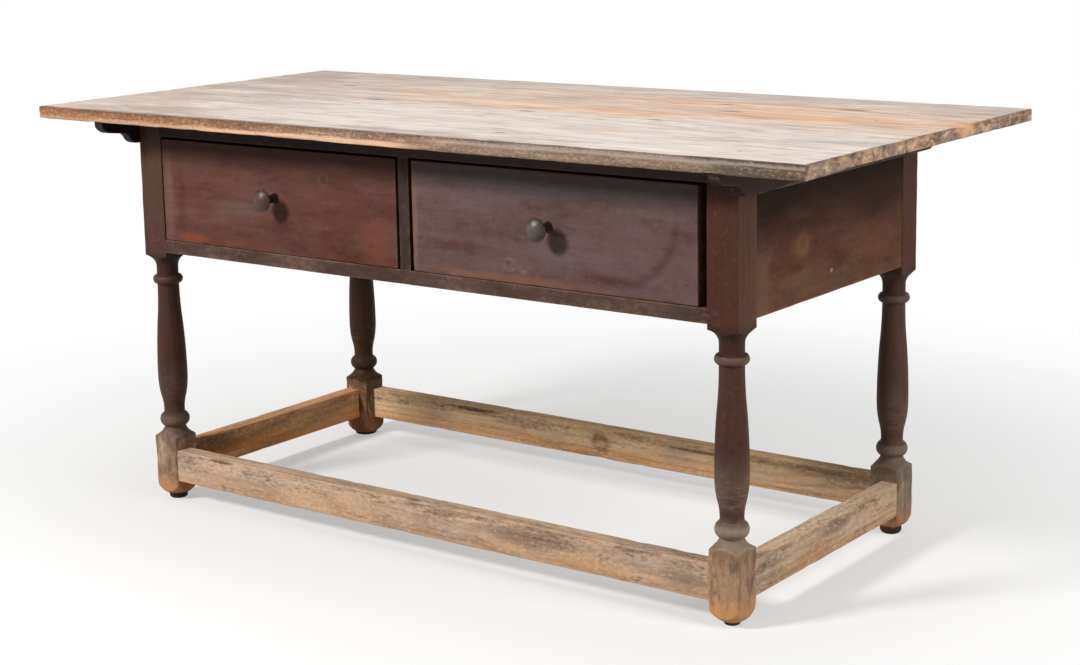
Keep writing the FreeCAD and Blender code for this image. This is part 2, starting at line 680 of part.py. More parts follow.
batten_body = doc.addObject("PartDesign::Body", "BattenBody")
batten_sketch = outline(batten_body, "YZ_Plane", batten_outline())
batten_pad = batten_body.newObject("PartDesign::Pad", "BattenPad")
batten_pad.Profile = batten_sketch
bind(batten_pad, "Length", d.batten_thickness)
batten_sketch.Visibility = False
batten_body.Tip = batten_pad
put(batten_body, half_length, front_edge + d.batten_end_inset, top_under - d.batten_depth)
right_batten = node("right_batten", cut(batten_body, top_holes + pin_holes))
node("left_batten", mirrored(right_batten, Vector(1, 0, 0)))


def knob_outline():
    """Half of a mushroom knob, its shank below and its face on top."""
    seat = d.shank_length
    rim = seat + d.knob_neck_length
    crown = seat + d.knob_depth + d.knob_neck_length
    edge = rim + d.knob_rim_height
    return [
        (zero, zero, None),
        (d.shank_radius, zero, None),
        (d.shank_radius, seat, None),
        (d.knob_seat_radius, seat, None),
        (d.knob_neck_radius, seat + d.knob_neck_length / 2, None),
        (d.knob_rim_radius, rim, None),
        (d.knob_radius, edge, (easing(d.knob_radius, crown - edge), 1)),
        (zero, crown, None),
    ]


def tails(count, x, y, root_at_back):
    """Dovetails of one drawer side, evenly spaced over its height."""
    height = drawer_top - d.side_drop - drawer_bottom
    pitch = height / count
    shapes = []
    for number in range(count):
        middle = drawer_bottom + pitch * (2 * number + 1) / 2
        root = centred(middle, middle, pitch * d.tail_root_share)
        tip = centred(middle, middle, pitch * d.tail_tip_share)
        shapes.append(wedge(x, y, tip, root) if root_at_back else wedge(x, y, root, tip))
    return shapes


def drawer(side, start, end):
    """All the pieces of one drawer, between its left and right edges."""
    inner = drawer_face + d.front_thickness
    tail = drawer_face + d.lap_thickness
    rear_inner = drawer_rear - d.back_thickness
    sides_top = drawer_top - d.side_drop
    floor = (drawer_bottom + d.bottom_raise, drawer_bottom + d.bottom_raise + d.bottom_thickness)
    middle = (start + end) / 2
    centre_z = (drawer_bottom + drawer_top) / 2 + d.knob_raise
    panel_x = (start + d.side_thickness - d.groove_depth, end - d.side_thickness + d.groove_depth)
    panel_y = (inner - d.groove_depth, drawer_rear)
    groove = block(panel_x, (panel_y[0], rear_inner), floor)
    panel = block(panel_x, panel_y, floor)
    shank_hole = rod("+y", middle, drawer_face, centre_z, (d.shank_radius + d.fit_clearance) * 2,
                     d.front_thickness)
    edges = {"left_side": (start, start + d.side_thickness), "right_side": (end - d.side_thickness, end)}
    front_tails, back_tails = {}, {}
    for name, x in edges.items():
        front_tails[name] = tails(FRONT_TAILS, x, (tail, inner), True)
        back_tails[name] = tails(BACK_TAILS, x, (rear_inner, drawer_rear), False)
    nail_inset = (end - start) * d.drawer_nail_share
    nail_xs = (start + nail_inset, middle, end - nail_inset)
    nail_y = drawer_rear - d.back_thickness / 2
    bore = d.drawer_nail_diameter + d.fit_clearance * 2
    nails = [rod("+z", x, nail_y, floor[0], d.drawer_nail_diameter, d.drawer_nail_length) for x in nail_xs]
    bores = [rod("+z", x, nail_y, floor[0], bore, d.drawer_nail_length + d.end_relief) for x in nail_xs]
    for name, x in edges.items():
        long_side = block(x, (inner, rear_inner), (drawer_bottom, sides_top))
        node(f"{side}_drawer_{name}",
             cut(fused([long_side] + front_tails[name] + back_tails[name]), [panel]))
    node(f"{side}_drawer_front", cut(
        block((start, end), (drawer_face, inner), (drawer_bottom, drawer_top)),
        [groove, shank_hole] + front_tails["left_side"] + front_tails["right_side"]))
    node(f"{side}_drawer_back", cut(
        block((start, end), (rear_inner, drawer_rear), (floor[1], sides_top)),
        back_tails["left_side"] + back_tails["right_side"] + bores))
    node(f"{side}_drawer_bottom", cut(panel, bores))
    node(f"{side}_drawer_nails", group(nails))
    knob = turned(knob_outline())
    put(knob, middle, drawer_face + d.shank_length, centre_z, AXES["-y"])
    node(f"{side}_drawer_knob", knob)


drawer("left", *left_drawer_x)
drawer("right", *right_drawer_x)

doc.recompute()

for item in doc.Objects:
    if "Invalid" in item.State or "Error" in item.State:
        raise RuntimeError(f"{item.Name} ({item.Label}) is {item.State}")
for item in nodes:
    if item.Shape.isNull() or not item.Shape.isValid():
        raise RuntimeError(f"{item.Label} has no valid shape")

os.makedirs("parts", exist_ok=True)
for item in nodes:
    item.Shape.exportStep(f"parts/{item.Label}.step")
    print(item.Label, len(item.Shape.Solids), round(item.Shape.Volume))
print(len(nodes), "nodes")
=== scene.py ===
import logging
import math
from dataclasses import dataclass
from enum import Enum
from typing import Any, Callable, Union

import bmesh
import bpy
import numpy as np
from mathutils import Matrix, Vector, noise


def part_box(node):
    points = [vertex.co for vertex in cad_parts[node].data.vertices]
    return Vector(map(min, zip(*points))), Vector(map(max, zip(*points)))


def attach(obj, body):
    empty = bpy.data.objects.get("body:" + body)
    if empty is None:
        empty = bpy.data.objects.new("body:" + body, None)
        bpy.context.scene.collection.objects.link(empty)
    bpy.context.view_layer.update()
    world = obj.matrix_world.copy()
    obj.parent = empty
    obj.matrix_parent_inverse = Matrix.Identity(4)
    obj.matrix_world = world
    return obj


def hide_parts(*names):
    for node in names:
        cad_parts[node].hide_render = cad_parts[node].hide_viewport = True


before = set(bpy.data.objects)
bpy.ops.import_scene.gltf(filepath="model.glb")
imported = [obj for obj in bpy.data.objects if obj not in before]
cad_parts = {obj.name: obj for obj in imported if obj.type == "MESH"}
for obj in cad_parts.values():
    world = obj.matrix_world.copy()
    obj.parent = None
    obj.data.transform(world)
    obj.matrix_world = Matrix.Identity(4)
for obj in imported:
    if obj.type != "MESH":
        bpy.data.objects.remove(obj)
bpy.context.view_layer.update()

log = logging.getLogger("tavern_table")
MM = 0.001
TURN = 2 * math.pi
Colour = str  # six hexadecimal digits of sRGB, red first
Place = tuple[float, float, float]


class Grain(Enum):
    """The direction that the fibres of a piece run in."""

    X = 0
    Y = 1
    Z = 2


class Slot(Enum):
    """Material slots of the record."""

    TOP = "scrubbed_pine"
    PAINT = "old_paint"
    BARE = "worn_wood"
    PEG = "peg_wood"
    INSIDE = "bare_pine"
    KNOB = "knob_wood"


class Body(Enum):
    """Bodies of the frame that pieces ride on."""

    FRAME = "frame"
    LEFT = "left_drawer"
    RIGHT = "right_drawer"


def tint(code: Colour) -> tuple[float, ...]:
    """Turn an sRGB colour into linear red, green, blue and an alpha of 1."""
    parts = [int(code[i:i + 2], 16) / 255 for i in (0, 2, 4)]
    return (*(c / 12.92 if c <= 0.04045 else ((c + 0.055) / 1.055) ** 2.4 for c in parts), 1.0)


def math_node(operation: str, swap: bool = False) -> Callable[..., "Socket"]:
    """Make a method of Socket that adds one Math node.

    Args:
        operation: the node's operation.
        swap: whether the other operand comes first.

    Returns:
        The method; it takes the other operands and gives the node's result.
    """
    def method(self: "Socket", *others: "Value") -> "Socket":
        """Join this value with others in one Math node."""
        operands = (*others, self) if swap else (self, *others)
        made = self.graph.add("ShaderNodeMath", {"operation": operation}, dict(enumerate(operands)))
        return Socket(self.graph, made.outputs[0])

    return method


class Socket:
    """A shader value in an expression: each operator adds its Math node."""

    def __init__(self, graph: "Graph", link: bpy.types.NodeSocket) -> None:
        """Wrap one output socket of a graph."""
        self.graph = graph
        self.link = link

    __add__ = __radd__ = math_node("ADD")
    __sub__ = math_node("SUBTRACT")
    __rsub__ = math_node("SUBTRACT", swap=True)
    __mul__ = __rmul__ = math_node("MULTIPLY")
    __pow__ = math_node("POWER")
    sine = math_node("SINE")
    size = math_node("ABSOLUTE")
    most = math_node("MAXIMUM")

    def __neg__(self) -> "Socket":
        """Change the sign."""
        return self * -1.0

    def rise(self, low: float, high: float) -> "Socket":
        """Ease from 0 at low to 1 at high; low may be the larger."""
        made = self.graph.add("ShaderNodeMapRange", {"interpolation_type": "SMOOTHSTEP"},
                              {"Value": self, "From Min": low, "From Max": high})
        return Socket(self.graph, made.outputs["Result"])


Value = Union[Socket, float, tuple[float, ...], Colour]
Coat = tuple[Socket, float, float, float, Colour]


class Graph:
    """The node tree of a material or of the world, with short ways to add nodes."""

    def __init__(self, owner: Union[bpy.types.Material, bpy.types.World]) -> None:
        """Open the node tree of its owner."""
        owner.use_nodes = True
        self.owner = owner
        self.tree = owner.node_tree

    def find(self, kind: str) -> bpy.types.Node:
        """Give the node of a type that the tree started with."""
        return next(n for n in self.tree.nodes if n.type == kind)

    def add(self, kind: str, settings: dict[str, Any] | None = None,
            inputs: dict[Any, Value] | None = None) -> bpy.types.Node:
        """Add any node.

        Args:
            kind: the node's type.
            settings: its properties, set first.
            inputs: values or links by socket name or number.

        Returns:
            The new node.
        """
        made = self.tree.nodes.new(kind)
        for key, value in (settings or {}).items():
            setattr(made, key, value)
        for key, value in (inputs or {}).items():
            self.feed(made.inputs[key], value)
        return made

    def feed(self, target: bpy.types.NodeSocket, value: Value) -> None:
        """Link a value to a socket, or set the number or the colour there."""
        if isinstance(value, Socket):
            self.tree.links.new(value.link, target)
        else:
            target.default_value = tint(value) if isinstance(value, Colour) else value

    def point(self) -> Socket:
        """Give the place on the piece, in metres of the shared frame."""
        return Socket(self, self.add("ShaderNodeTexCoord").outputs["Object"])

    def parts(self) -> tuple[Socket, ...]:
        """Give x, y and z of the place on the piece."""
        made = self.add("ShaderNodeSeparateXYZ", None, {0: self.point()})
        return tuple(Socket(self, made.outputs[i]) for i in range(3))

    def vector(self, operation: str, *operands: Value, result: str = "Vector") -> Socket:
        """Add a Vector Math node and give one of its results."""
        made = self.add("ShaderNodeVectorMath", {"operation": operation}, dict(enumerate(operands)))
        return Socket(self, made.outputs[result])

    def away(self, centre: Place, reach: Place = (1.0, 1.0, 1.0)) -> Socket:
        """Give the distance from a place, measured in its own reach along each axis."""
        offset = self.vector("DIVIDE", self.vector("SUBTRACT", self.point(), centre), reach)
        return self.vector("LENGTH", offset, result="Value")

    def noise(self, scale: float, detail: float, rough: float, stretch: Place | None = None,
              place: Socket | None = None) -> Socket:
        """Give smooth noise around 0.5.

        Args:
            scale: its cycles per metre.
            detail: how many finer layers it has.
            rough: how strong each finer layer is.
            stretch: factors for the place along each axis.
            place: where to read it, if not at the place on the piece.

        Returns:
            The noise.
        """
        place = place or self.point()
        if stretch:
            place = self.vector("MULTIPLY", place, stretch)
        made = self.add("ShaderNodeTexNoise", {"noise_dimensions": "3D"},
                        {"Vector": place, "Scale": scale, "Detail": detail, "Roughness": rough})
        return Socket(self, made.outputs["Fac"])

    def arris(self) -> Socket:
        """Read how near an edge of the piece is, which the mesh holds at each vertex."""
        return Socket(self, self.add("ShaderNodeAttribute", {"attribute_name": "arris"}).outputs["Fac"])

    def mix(self, factor: Value, under: Value, over: Value) -> Socket:
        """Lay one colour over another."""
        made = self.add("ShaderNodeMix", {"data_type": "RGBA"})
        for name, value in (("Factor_Float", factor), ("A_Color", under), ("B_Color", over)):
            self.feed(next(s for s in made.inputs if s.identifier == name), value)
        return Socket(self, next(s for s in made.outputs if s.identifier == "Result_Color"))

    def coats(self, under: Value, *coats: Coat) -> Socket:
        """Lay coats over a colour: mask, where it starts, where it is full, share and colour."""
        for mask, low, high, share, over in coats:
            under = self.mix(mask.rise(low, high) * share, under, over)
        return under

    def surface(self, colour: Value, roughness: Value, height: Socket, depth: float,
                coat: float = 0.0, gloss: float = 0.25) -> None:
        """Feed the shader.

        Args:
            colour: base colour.
            roughness: roughness of the surface.
            height: relief between 0 and 1.
            depth: what a height of 1 stands for, in metres.
            coat: weight of the wax or varnish over it.
            gloss: level of the reflection, 0.5 for bare varnish.
        """
        shader = self.find("BSDF_PRINCIPLED")
        bump = self.add("ShaderNodeBump", None, {"Strength": 1.0, "Distance": depth, "Height": height})
        for name, value in (("Base Color", colour), ("Roughness", roughness), ("Coat Weight", coat),
                            ("Coat Roughness", 0.4), ("Specular IOR Level", gloss),
                            ("Normal", Socket(self, bump.outputs[0]))):
            self.feed(shader.inputs[name], value)


@dataclass(frozen=True)
class Touch:
    """A patch of another colour with a ragged edge.

    Args:
        centre: its middle, in metres.
        reach: how far it goes along each axis.
        colour: its colour.
        share: how strongly it covers.
    """

    centre: Place
    reach: Place
    colour: Colour
    share: float = 0.6

    def lay(self, g: Graph, under: Socket, ragged: Socket) -> Socket:
        """Lay the patch over a colour."""
        edge = g.away(self.centre, self.reach) + (ragged - 0.5) * 1.8
        return g.mix(edge.rise(1.1, 0.3) * self.share, under, self.colour)


@dataclass(frozen=True)
class Ring:
    """A ring left by a wet bottom, a knot or a scuff.

    Args:
        centre: its middle, in metres.
        radius: its radius.
        width: half the width of its line.
        colour: its colour.
        share: how strongly it covers.
        side: a direction; only the part of the ring on that side shows.
    """

    centre: Place
    radius: float
    width: float
    colour: Colour
    share: float = 0.5
    side: Place | None = None

    def lay(self, g: Graph, under: Socket, ragged: Socket) -> Socket:
        """Lay the ring over a colour."""
        line = (g.away(self.centre) - self.radius + (ragged - 0.5) * self.width * 2.5).size()
        mask = line.rise(self.width, 0.0) * ragged.rise(0.36, 0.56) * self.share
        if self.side:
            offset = g.vector("SUBTRACT", g.point(), self.centre)
            toward = g.vector("DOT_PRODUCT", offset, self.side, result="Value")
            mask = mask * toward.rise(0.0, self.radius * 0.7)
        return g.mix(mask, under, self.colour)


@dataclass(frozen=True)
class PaintedShade:
    """Painted shade that thickens with height, standing in for the shadow under the top's overhang.

    Args:
        low: height where it starts.
        high: height where it is at its thickest.
        share: how strongly it covers there.
        colour: its colour.
    """

    low: float
    high: float
    share: float = 0.45
    colour: Colour = "1a100b"

    def lay(self, g: Graph, under: Socket, ragged: Socket) -> Socket:
        """Lay the painted shade over a colour."""
        height = g.parts()[2] + (ragged - 0.5) * 0.06
        return g.mix(height.rise(self.low, self.high) * self.share, under, self.colour)


Mark = Union[Touch, Ring, PaintedShade]


@dataclass(frozen=True)
class Finish:
    """A finish that becomes a material.

    Args:
        name: name of the material.
    """

    name: str

    def paint_on(self, g: Graph) -> None:
        """Fill the node tree; each finish has its own way."""
        raise NotImplementedError

    def material(self) -> bpy.types.Material:
        """Build the material."""
        g = Graph(bpy.data.materials.new(self.name))
        self.paint_on(g)
        return g.owner


@dataclass(frozen=True)
class Wood(Finish):
    """A finish with the figure of sawn wood: growth lines, fibres and streaks.

    Args:
        grain: direction of the fibres.
        shift: offset that gives each piece its own figure.
    """

    grain: Grain
    shift: float

    def patches(self, g: Graph, along: float, scale: float, rough: float = 0.6,
                detail: float = 4.0) -> Socket:
        """Give noise drawn out along the grain.

        Args:
            g: the node tree.
            along: the share of the scale along the grain.
            scale: cycles per metre across the grain.
            rough: how strong each finer layer is.
            detail: how many finer layers it has.

        Returns:
            The noise.
        """
        stretch = [1.0, 1.0, 1.0]
        stretch[self.grain.value] = along
        moved = g.vector("ADD", g.point(), (self.shift, self.shift * 0.7, self.shift * 1.3))
        return g.noise(scale, detail, rough, tuple(stretch), moved)

    def growth(self, g: Graph, count: float) -> Socket:
        """Give the late wood: thin lines of 1 between wide bands of 0."""
        rings = self.patches(g, 0.09, 5.0, 0.5, 2.0)
        return ((rings * count * 2 * math.pi).sine() * 0.5 + 0.5) ** 3.0

    def fibres(self, g: Graph) -> Socket:
        """Give fine streaks along the grain."""
        return self.patches(g, 0.035, 330.0, 0.65, 3.0)

    def streaks(self, g: Graph) -> Socket:
        """Give broader streaks along the grain."""
        return self.patches(g, 0.05, 95.0)


@dataclass(frozen=True)
class ScrubbedPine(Wood):
    """The planks of the top: scrubbed grey in front, warm in a band behind it.

    Args:
        height: height of the upper side, in metres.
        pale: main colour.
        bright: colour of the most scrubbed patches.
        warm: colour of the band.
        back: colour behind the band.
        left: colour toward the left end.
        stain: colour of growth lines and stains.
        grey: colour of weathered patches.
        dirt: colour of dirt and knots.
        edge_left: colour of the front edge at the left.
        edge_middle: the same in the middle.
        edge_right: the same right of the middle.
        edge_far: the same at the far right.
        knots: x, y and radius of each knot.
    """

    height: float = 0.737
    pale: Colour = "e0d3c9"
    bright: Colour = "efe6de"
    warm: Colour = "d8b08c"
    back: Colour = "bdaea2"
    left: Colour = "c2ad9d"
    stain: Colour = "77604f"
    grey: Colour = "9a8b80"
    dirt: Colour = "33271f"
    edge_left: Colour = "966541"
    edge_middle: Colour = "8f7059"
    edge_right: Colour = "927a68"
    edge_far: Colour = "635243"
    knots: tuple[tuple[float, float, float], ...] = (
        (0.055, -0.038, 0.011), (-0.309, -0.01, 0.012), (0.544, 0.23, 0.016), (0.368, 0.118, 0.012),
        (0.307, 0.207, 0.008), (0.321, -0.041, 0.009), (-0.52, 0.16, 0.01), (0.2, -0.3, 0.007))

    def touches(self) -> list[Touch]:
        """Give the warm and grey places of the top."""
        rows = ((0.52, 0.09, 0.26, 0.06, "ecb685", 0.85), (0.12, 0.03, 0.3, 0.04, "ecb685", 0.65),
                (0.32, 0.2, 0.3, 0.045, "ecb685", 0.65), (-0.25, 0.09, 0.22, 0.045, "d9ac80", 0.55),
                (-0.02, -0.19, 0.2, 0.03, "dcb796", 0.4), (0.36, -0.2, 0.16, 0.025, "d8ab84", 0.4),
                (-0.6, -0.33, 0.2, 0.05, self.grey, 0.5), (0.02, -0.35, 0.2, 0.018, self.grey, 0.6),
                (-0.7, 0.2, 0.12, 0.15, self.grey, 0.5), (0.7, -0.15, 0.1, 0.2, "cfc2b7", 0.5))
        places = [Touch((x, y, self.height), (long, wide, 0.2), colour, share)
                  for x, y, long, wide, colour, share in rows]
        return places + [Touch((0.795, 0.122, self.height), (0.035, 0.035, 0.04), "e2a170", 0.85)]

    def ends(self, g: Graph, colour: Socket, x: Socket, z: Socket) -> Socket:
        """Lay the end grain over both ends.

        Args:
            g: the node tree.
            colour: colour of the plank.
            x: x on the piece.
            z: height on the piece.

        Returns:
            The colour with its ends.
        """
        blotch = g.noise(62.0, 4.0, 0.68, (1.0, 0.5, 1.1))
        pores = g.noise(190.0, 3.0, 0.7, (1.0, 0.5, 0.9))
        end = g.mix(g.noise(18.0, 3.0, 0.6).rise(0.4, 0.6), "8d7562", "bc9a7b")
        end = g.coats(end, (blotch, 0.48, 0.62, 0.75, "4d3a2d"), (blotch, 0.45, 0.33, 0.6, "d9c3a9"),
                      (pores, 0.5, 0.66, 0.5, "49372b"),
                      (z + (blotch - 0.5) * 0.02, 0.729, 0.7345, 0.22, self.dirt))
        end = Touch((0.793, 0.122, 0.73), (0.05, 0.04, 0.02), "dca276", 0.8).lay(g, end, blotch)
        return g.mix(x.size().rise(0.7885, 0.7915), colour, end)

    def front(self, g: Graph, colour: Socket, place: tuple[Socket, ...], streaks: Socket,
              spots: Socket) -> Socket:
        """Lay the rubbed front edge, its blackened arris and the dirt behind it.

        Args:
            g: the node tree.
            colour: colour of the plank.
            place: x, y and z on the piece.
            streaks: broad streaks along the grain.
            spots: small spots.

        Returns:
            The colour with its front edge.
        """
        x, y, z = place
        rim = g.mix(x.rise(-0.5, -0.05), self.edge_left, self.edge_middle)
        rim = g.mix(x.rise(0.0, 0.2), rim, self.edge_right)
        rim = g.mix(x.rise(0.58, 0.68), rim, self.edge_far)
        mottle = g.noise(110.0, 5.0, 0.72, (0.14, 1.0, 1.0))
        fine = g.noise(260.0, 3.0, 0.7, (0.5, 1.0, 1.0))
        rim = g.coats(rim, (mottle, 0.48, 0.32, 0.4, "dcb590"), (mottle, 0.5, 0.66, 0.5, "553d2d"),
                      (fine, 0.5, 0.66, 0.35, "4a372b"), (fine, 0.48, 0.34, 0.3, "e0c4a4"))
        loose = z + (streaks - 0.5) * 0.01 + (fine - 0.5) * 0.006
        rubbed = loose.rise(0.7245, 0.7185) * x.rise(0.14, 0.02) * (x.rise(-0.6, -0.3) * 0.45 + 0.45)
        rim = g.mix(rubbed, rim, "f0c09c")
        ridge = loose.rise(0.726, 0.729) * loose.rise(0.735, 0.732) * x.rise(0.05, 0.25)
        rim = g.mix(ridge * 0.55, rim, "c8b5aa")
        rim = g.coats(rim, (loose, 0.7285, 0.7355, 0.5, self.dirt))
        ragged = -y + (streaks - 0.5) * 0.03 + (spots - 0.5) * 0.02
        dirty = ragged.rise(0.364, 0.381) * (1.0 - x.rise(-0.1, 0.4) * 0.95)
        colour = g.mix(dirty * 0.75, colour, "7a563f")
        return g.mix((-y + (spots - 0.5) * 0.003).rise(0.3828, 0.3845), colour, rim)

    def paint_on(self, g: Graph) -> None:
        """Fill the node tree."""
        x, y, z = place = g.parts()
        broad = g.noise(6.0, 4.0, 0.62, (0.45, 1.6, 1.0))
        lines, fibres, streaks = self.growth(g, 26.0), self.fibres(g), self.streaks(g)
        spots, blotch = self.patches(g, 0.25, 60.0, 0.65), self.patches(g, 0.3, 17.0, 0.68)
        loose_y = y + (broad - 0.5) * 0.12 + (streaks - 0.5) * 0.1
        band = loose_y.rise(-0.1, 0.02) * loose_y.rise(0.34, 0.24)
        colour = g.coats(self.pale, (x + (broad - 0.5) * 0.4, -0.2, -0.72, 0.7, self.left))
        colour = g.mix(band * x.rise(-0.9, 0.3) * 0.62, colour, self.warm)
        colour = g.coats(colour, (loose_y, 0.24, 0.35, 0.75, self.back))
        ragged = broad * 0.6 + streaks * 0.4
        for touch in self.touches():
            colour = touch.lay(g, colour, ragged)
        colour = g.coats(colour, (blotch, 0.5, 0.66, 0.42, self.grey), (blotch, 0.48, 0.34, 0.5, self.bright),
                         (streaks, 0.5, 0.7, 0.26, self.stain), (streaks, 0.46, 0.3, 0.22, self.bright),
                         (spots, 0.52, 0.68, 0.38, self.grey))
        colour = g.mix(lines * (band * 0.2 + 0.12), colour, self.stain)
        colour = g.coats(colour, (fibres, 0.52, 0.7, 0.28, self.stain))
        for knot_x, knot_y, radius in self.knots:
            knot = g.away((knot_x, knot_y, self.height), (2.6, 1.0, 9.0)) + (streaks - 0.5) * 0.012
            colour = g.coats(colour, (knot, radius, radius * 0.35, 0.62, self.dirt))
        colour = g.coats(colour, (z, 0.7185, 0.7165, 0.85, "8a6547"))
        colour = self.front(g, colour, place, streaks, spots)
        colour = self.ends(g, colour, x, z)
        colour = g.mix(g.arris().rise(0.55, 1.0) * spots.rise(0.42, 0.6) * 0.3, colour, self.dirt)
        relief = fibres * 0.4 + (1.0 - lines) * 0.4 + streaks * 0.5
        g.surface(colour, 0.6 - band * 0.08 + fibres * 0.14, relief, 0.6 * MM, gloss=0.3)


@dataclass(frozen=True)
class OldPaint(Wood):
    """Old thin paint over wood, rubbed through along the edges.

    Args:
        paint: main colour.
        haze: colour of the bloom that lies over it in patches.
        bare: wood that shows where the paint is gone.
        haze_share: how much of the bloom shows.
        wear_share: how far the edges are rubbed through.
        marks: patches, rings and painted shade on it.
        gloss: level of the reflection; the coat's weight is 0.4 of it.
        dark: colour of its darker streaks.
    """

    paint: Colour
    haze: Colour
    bare: Colour = "8d6a50"
    haze_share: float = 0.5
    wear_share: float = 0.4
    marks: tuple[Mark, ...] = ()
    gloss: float = 0.1
    dark: Colour = "1e120d"

    def paint_on(self, g: Graph) -> None:
        """Fill the node tree; the painted shade goes on last."""
        lines, fibres, streaks = self.growth(g, 20.0), self.fibres(g), self.streaks(g)
        cloud = self.patches(g, 0.5, 9.0)
        bands, spots = self.patches(g, 0.28, 30.0, 0.66), self.patches(g, 0.6, 110.0, 0.72)
        colour = g.coats(self.paint, (cloud, 0.36, 0.64, self.haze_share, self.haze),
                         (bands, 0.5, 0.68, 0.32, self.dark), (bands, 0.48, 0.32, 0.5, self.haze))
        ragged = cloud * 0.3 + bands * 0.35 + spots * 0.35
        # Marks of painted shade under the top are kept apart and laid last, over all wear.
        grime_and_shade = [mark for mark in self.marks if isinstance(mark, PaintedShade)]
        for mark in self.marks:
            if mark not in grime_and_shade:
                colour = mark.lay(g, colour, ragged)
        colour = g.coats(colour, (streaks, 0.52, 0.7, 0.16, self.dark))
        colour = g.mix(lines * 0.06, colour, self.dark)
        rubbed = g.arris() + (spots - 0.5) * 1.2 + (cloud - 0.5) * 1.6
        scratches = self.patches(g, 0.02, 300.0, 0.4)
        colour = g.coats(colour, (spots, 0.52, 0.68, 0.34, self.haze), (spots, 0.44, 0.3, 0.3, self.dark),
                         (rubbed, 0.62, 1.0, self.wear_share, self.bare),
                         (scratches, 0.66, 0.76, 0.14, self.bare))
        for mark in grime_and_shade:
            colour = mark.lay(g, colour, ragged)
        relief = fibres * 0.3 + (1.0 - lines) * 0.2 + streaks * 0.35 + spots * 0.4
        roughness = 0.46 + cloud * 0.2 + spots * 0.1
        g.surface(colour, roughness, relief, 0.4 * MM, self.gloss * 0.4, self.gloss)


@dataclass(frozen=True)
class TurnedPaint(Wood):
    """A leg: painted post, dark turning with rubbed rings, bare block and sooty foot.

    Args:
        bare_top: height up to which the block is rubbed bare, in metres.
        block: colour of the block's bare wood.
        foot_top: height of the dark foot.
        redness: how much red shows in the turning.
        grey: colour of the rubbed rings.
        scuffs: how strongly the belly is scratched.
        turning: main colour of the turning.
        side: colour of the post on the side of the right end.
        paint: colour of the post's other sides.
        red: the red in the turning.
        dark: colour of dirt and soot.
        orange: colour of the block's lower wood.
        post_low: height of the post's lower end.
        end_x: x between the front and the right side of the legs.
    """

    bare_top: float
    block: Colour
    foot_top: float
    redness: float = 0.4
    grey: Colour = "897867"
    scuffs: float = 0.1
    turning: Colour = "412c23"
    side: Colour = "452519"
    paint: Colour = "4b2b1f"
    red: Colour = "532e21"
    # dark: colour of dirt and soot, and of the painted shade on the block's side at the right end.
    dark: Colour = "1b120e"
    orange: Colour = "cc8c5a"
    post_low: float = 0.463
    end_x: float = 0.6288

    def wood(self, g: Graph, z: Socket, streaks: Socket, spots: Socket) -> Socket:
        """Colour the bare block.

        Args:
            g: the node tree.
            z: height on the piece.
            streaks: broad streaks along the grain.
            spots: small spots.

        Returns:
            The colour of the wood.
        """
        mottle = self.patches(g, 0.45, 75.0, 0.7)
        split = self.patches(g, 0.12, 140.0, 0.65, 3.0)
        return g.coats(
            self.block, (mottle, 0.5, 0.64, 0.55, "5f4736"), (mottle, 0.47, 0.34, 0.55, "cdb497"),
            (split, 0.55, 0.68, 0.45, "3c2b21"), (streaks, 0.5, 0.68, 0.25, "5a4333"),
            (spots, 0.52, 0.66, 0.35, "8c7867"),
            (z + (mottle - 0.5) * 0.06, self.bare_top - 0.035, self.bare_top, 0.5, "6b5748"),
            (z + (mottle - 0.5) * 0.05, 0.055, 0.022, 0.75, self.orange))

    def paint_on(self, g: Graph) -> None:
        """Fill the node tree."""
        fibres, streaks = self.fibres(g), self.streaks(g)
        x, _, z = g.parts()
        moved = g.vector("ADD", g.point(), (self.shift, 0.0, self.shift))
        cloud, spots = g.noise(16.0, 4.0, 0.6, place=moved), g.noise(120.0, 4.0, 0.7)
        loose_z = z + (cloud - 0.5) * 0.05 + (spots - 0.5) * 0.02
        turned = g.noise(170.0, 3.0, 0.6, (0.3, 0.3, 1.0))
        at_end = x.rise(self.end_x - 0.0005, self.end_x + 0.0005)
        colour = g.coats(self.turning, (cloud, 0.4, 0.6, self.redness, self.red))
        post = g.mix(at_end, self.paint, self.side)
        colour = g.mix(z.rise(self.post_low - 0.004, self.post_low + 0.004), colour, post)
        colour = g.coats(colour, (streaks, 0.48, 0.7, 0.35, self.dark), (spots, 0.42, 0.3, 0.4, self.dark),
                         (spots, 0.54, 0.72, 0.08, self.grey))
        throat = z.rise(0.418, 0.43) * z.rise(0.478, 0.458)
        belly = loose_z.rise(0.17, 0.2) * loose_z.rise(0.28, 0.22)
        rub = (g.arris() + (spots - 0.5) * 1.1 + (cloud - 0.5)).rise(0.3, 0.95)
        rub = rub * (z.rise(0.44, 0.25) * 0.7 + 0.3) * z.rise(0.462, 0.447)
        for mask, over in ((throat * 0.45, self.dark), (belly * 0.22, self.grey),
                           (belly * turned.rise(0.54, 0.66) * self.scuffs, "a3785a"),
                           (belly * turned.rise(0.44, 0.34) * 0.4, self.dark), (rub * 0.6, self.grey)):
            colour = g.mix(mask, colour, over)
        colour = g.coats(colour, (loose_z, 0.18, 0.14, 0.6, self.grey))
        # Painted shade on the post's upper end, where the top's shadow falls.
        colour = PaintedShade(0.63, 0.7).lay(g, colour, cloud)
        # Painted shade: the block's side at the right end is laid a fifth of the way to the dark colour.
        bare = g.mix(at_end * 0.2, self.wood(g, z, streaks, spots), self.dark)
        colour = g.mix(loose_z.rise(self.bare_top + 0.004, self.bare_top - 0.008), colour, bare)
        foot = z + (spots - 0.5) * 0.006
        colour = g.coats(colour, (foot, self.foot_top + 0.003, self.foot_top - 0.002, 0.95, self.dark))
        relief = fibres * 0.35 + streaks * 0.5 + spots * 0.45
        g.surface(colour, 0.5 + cloud * 0.22, relief, 0.6 * MM, 0.04, 0.12)


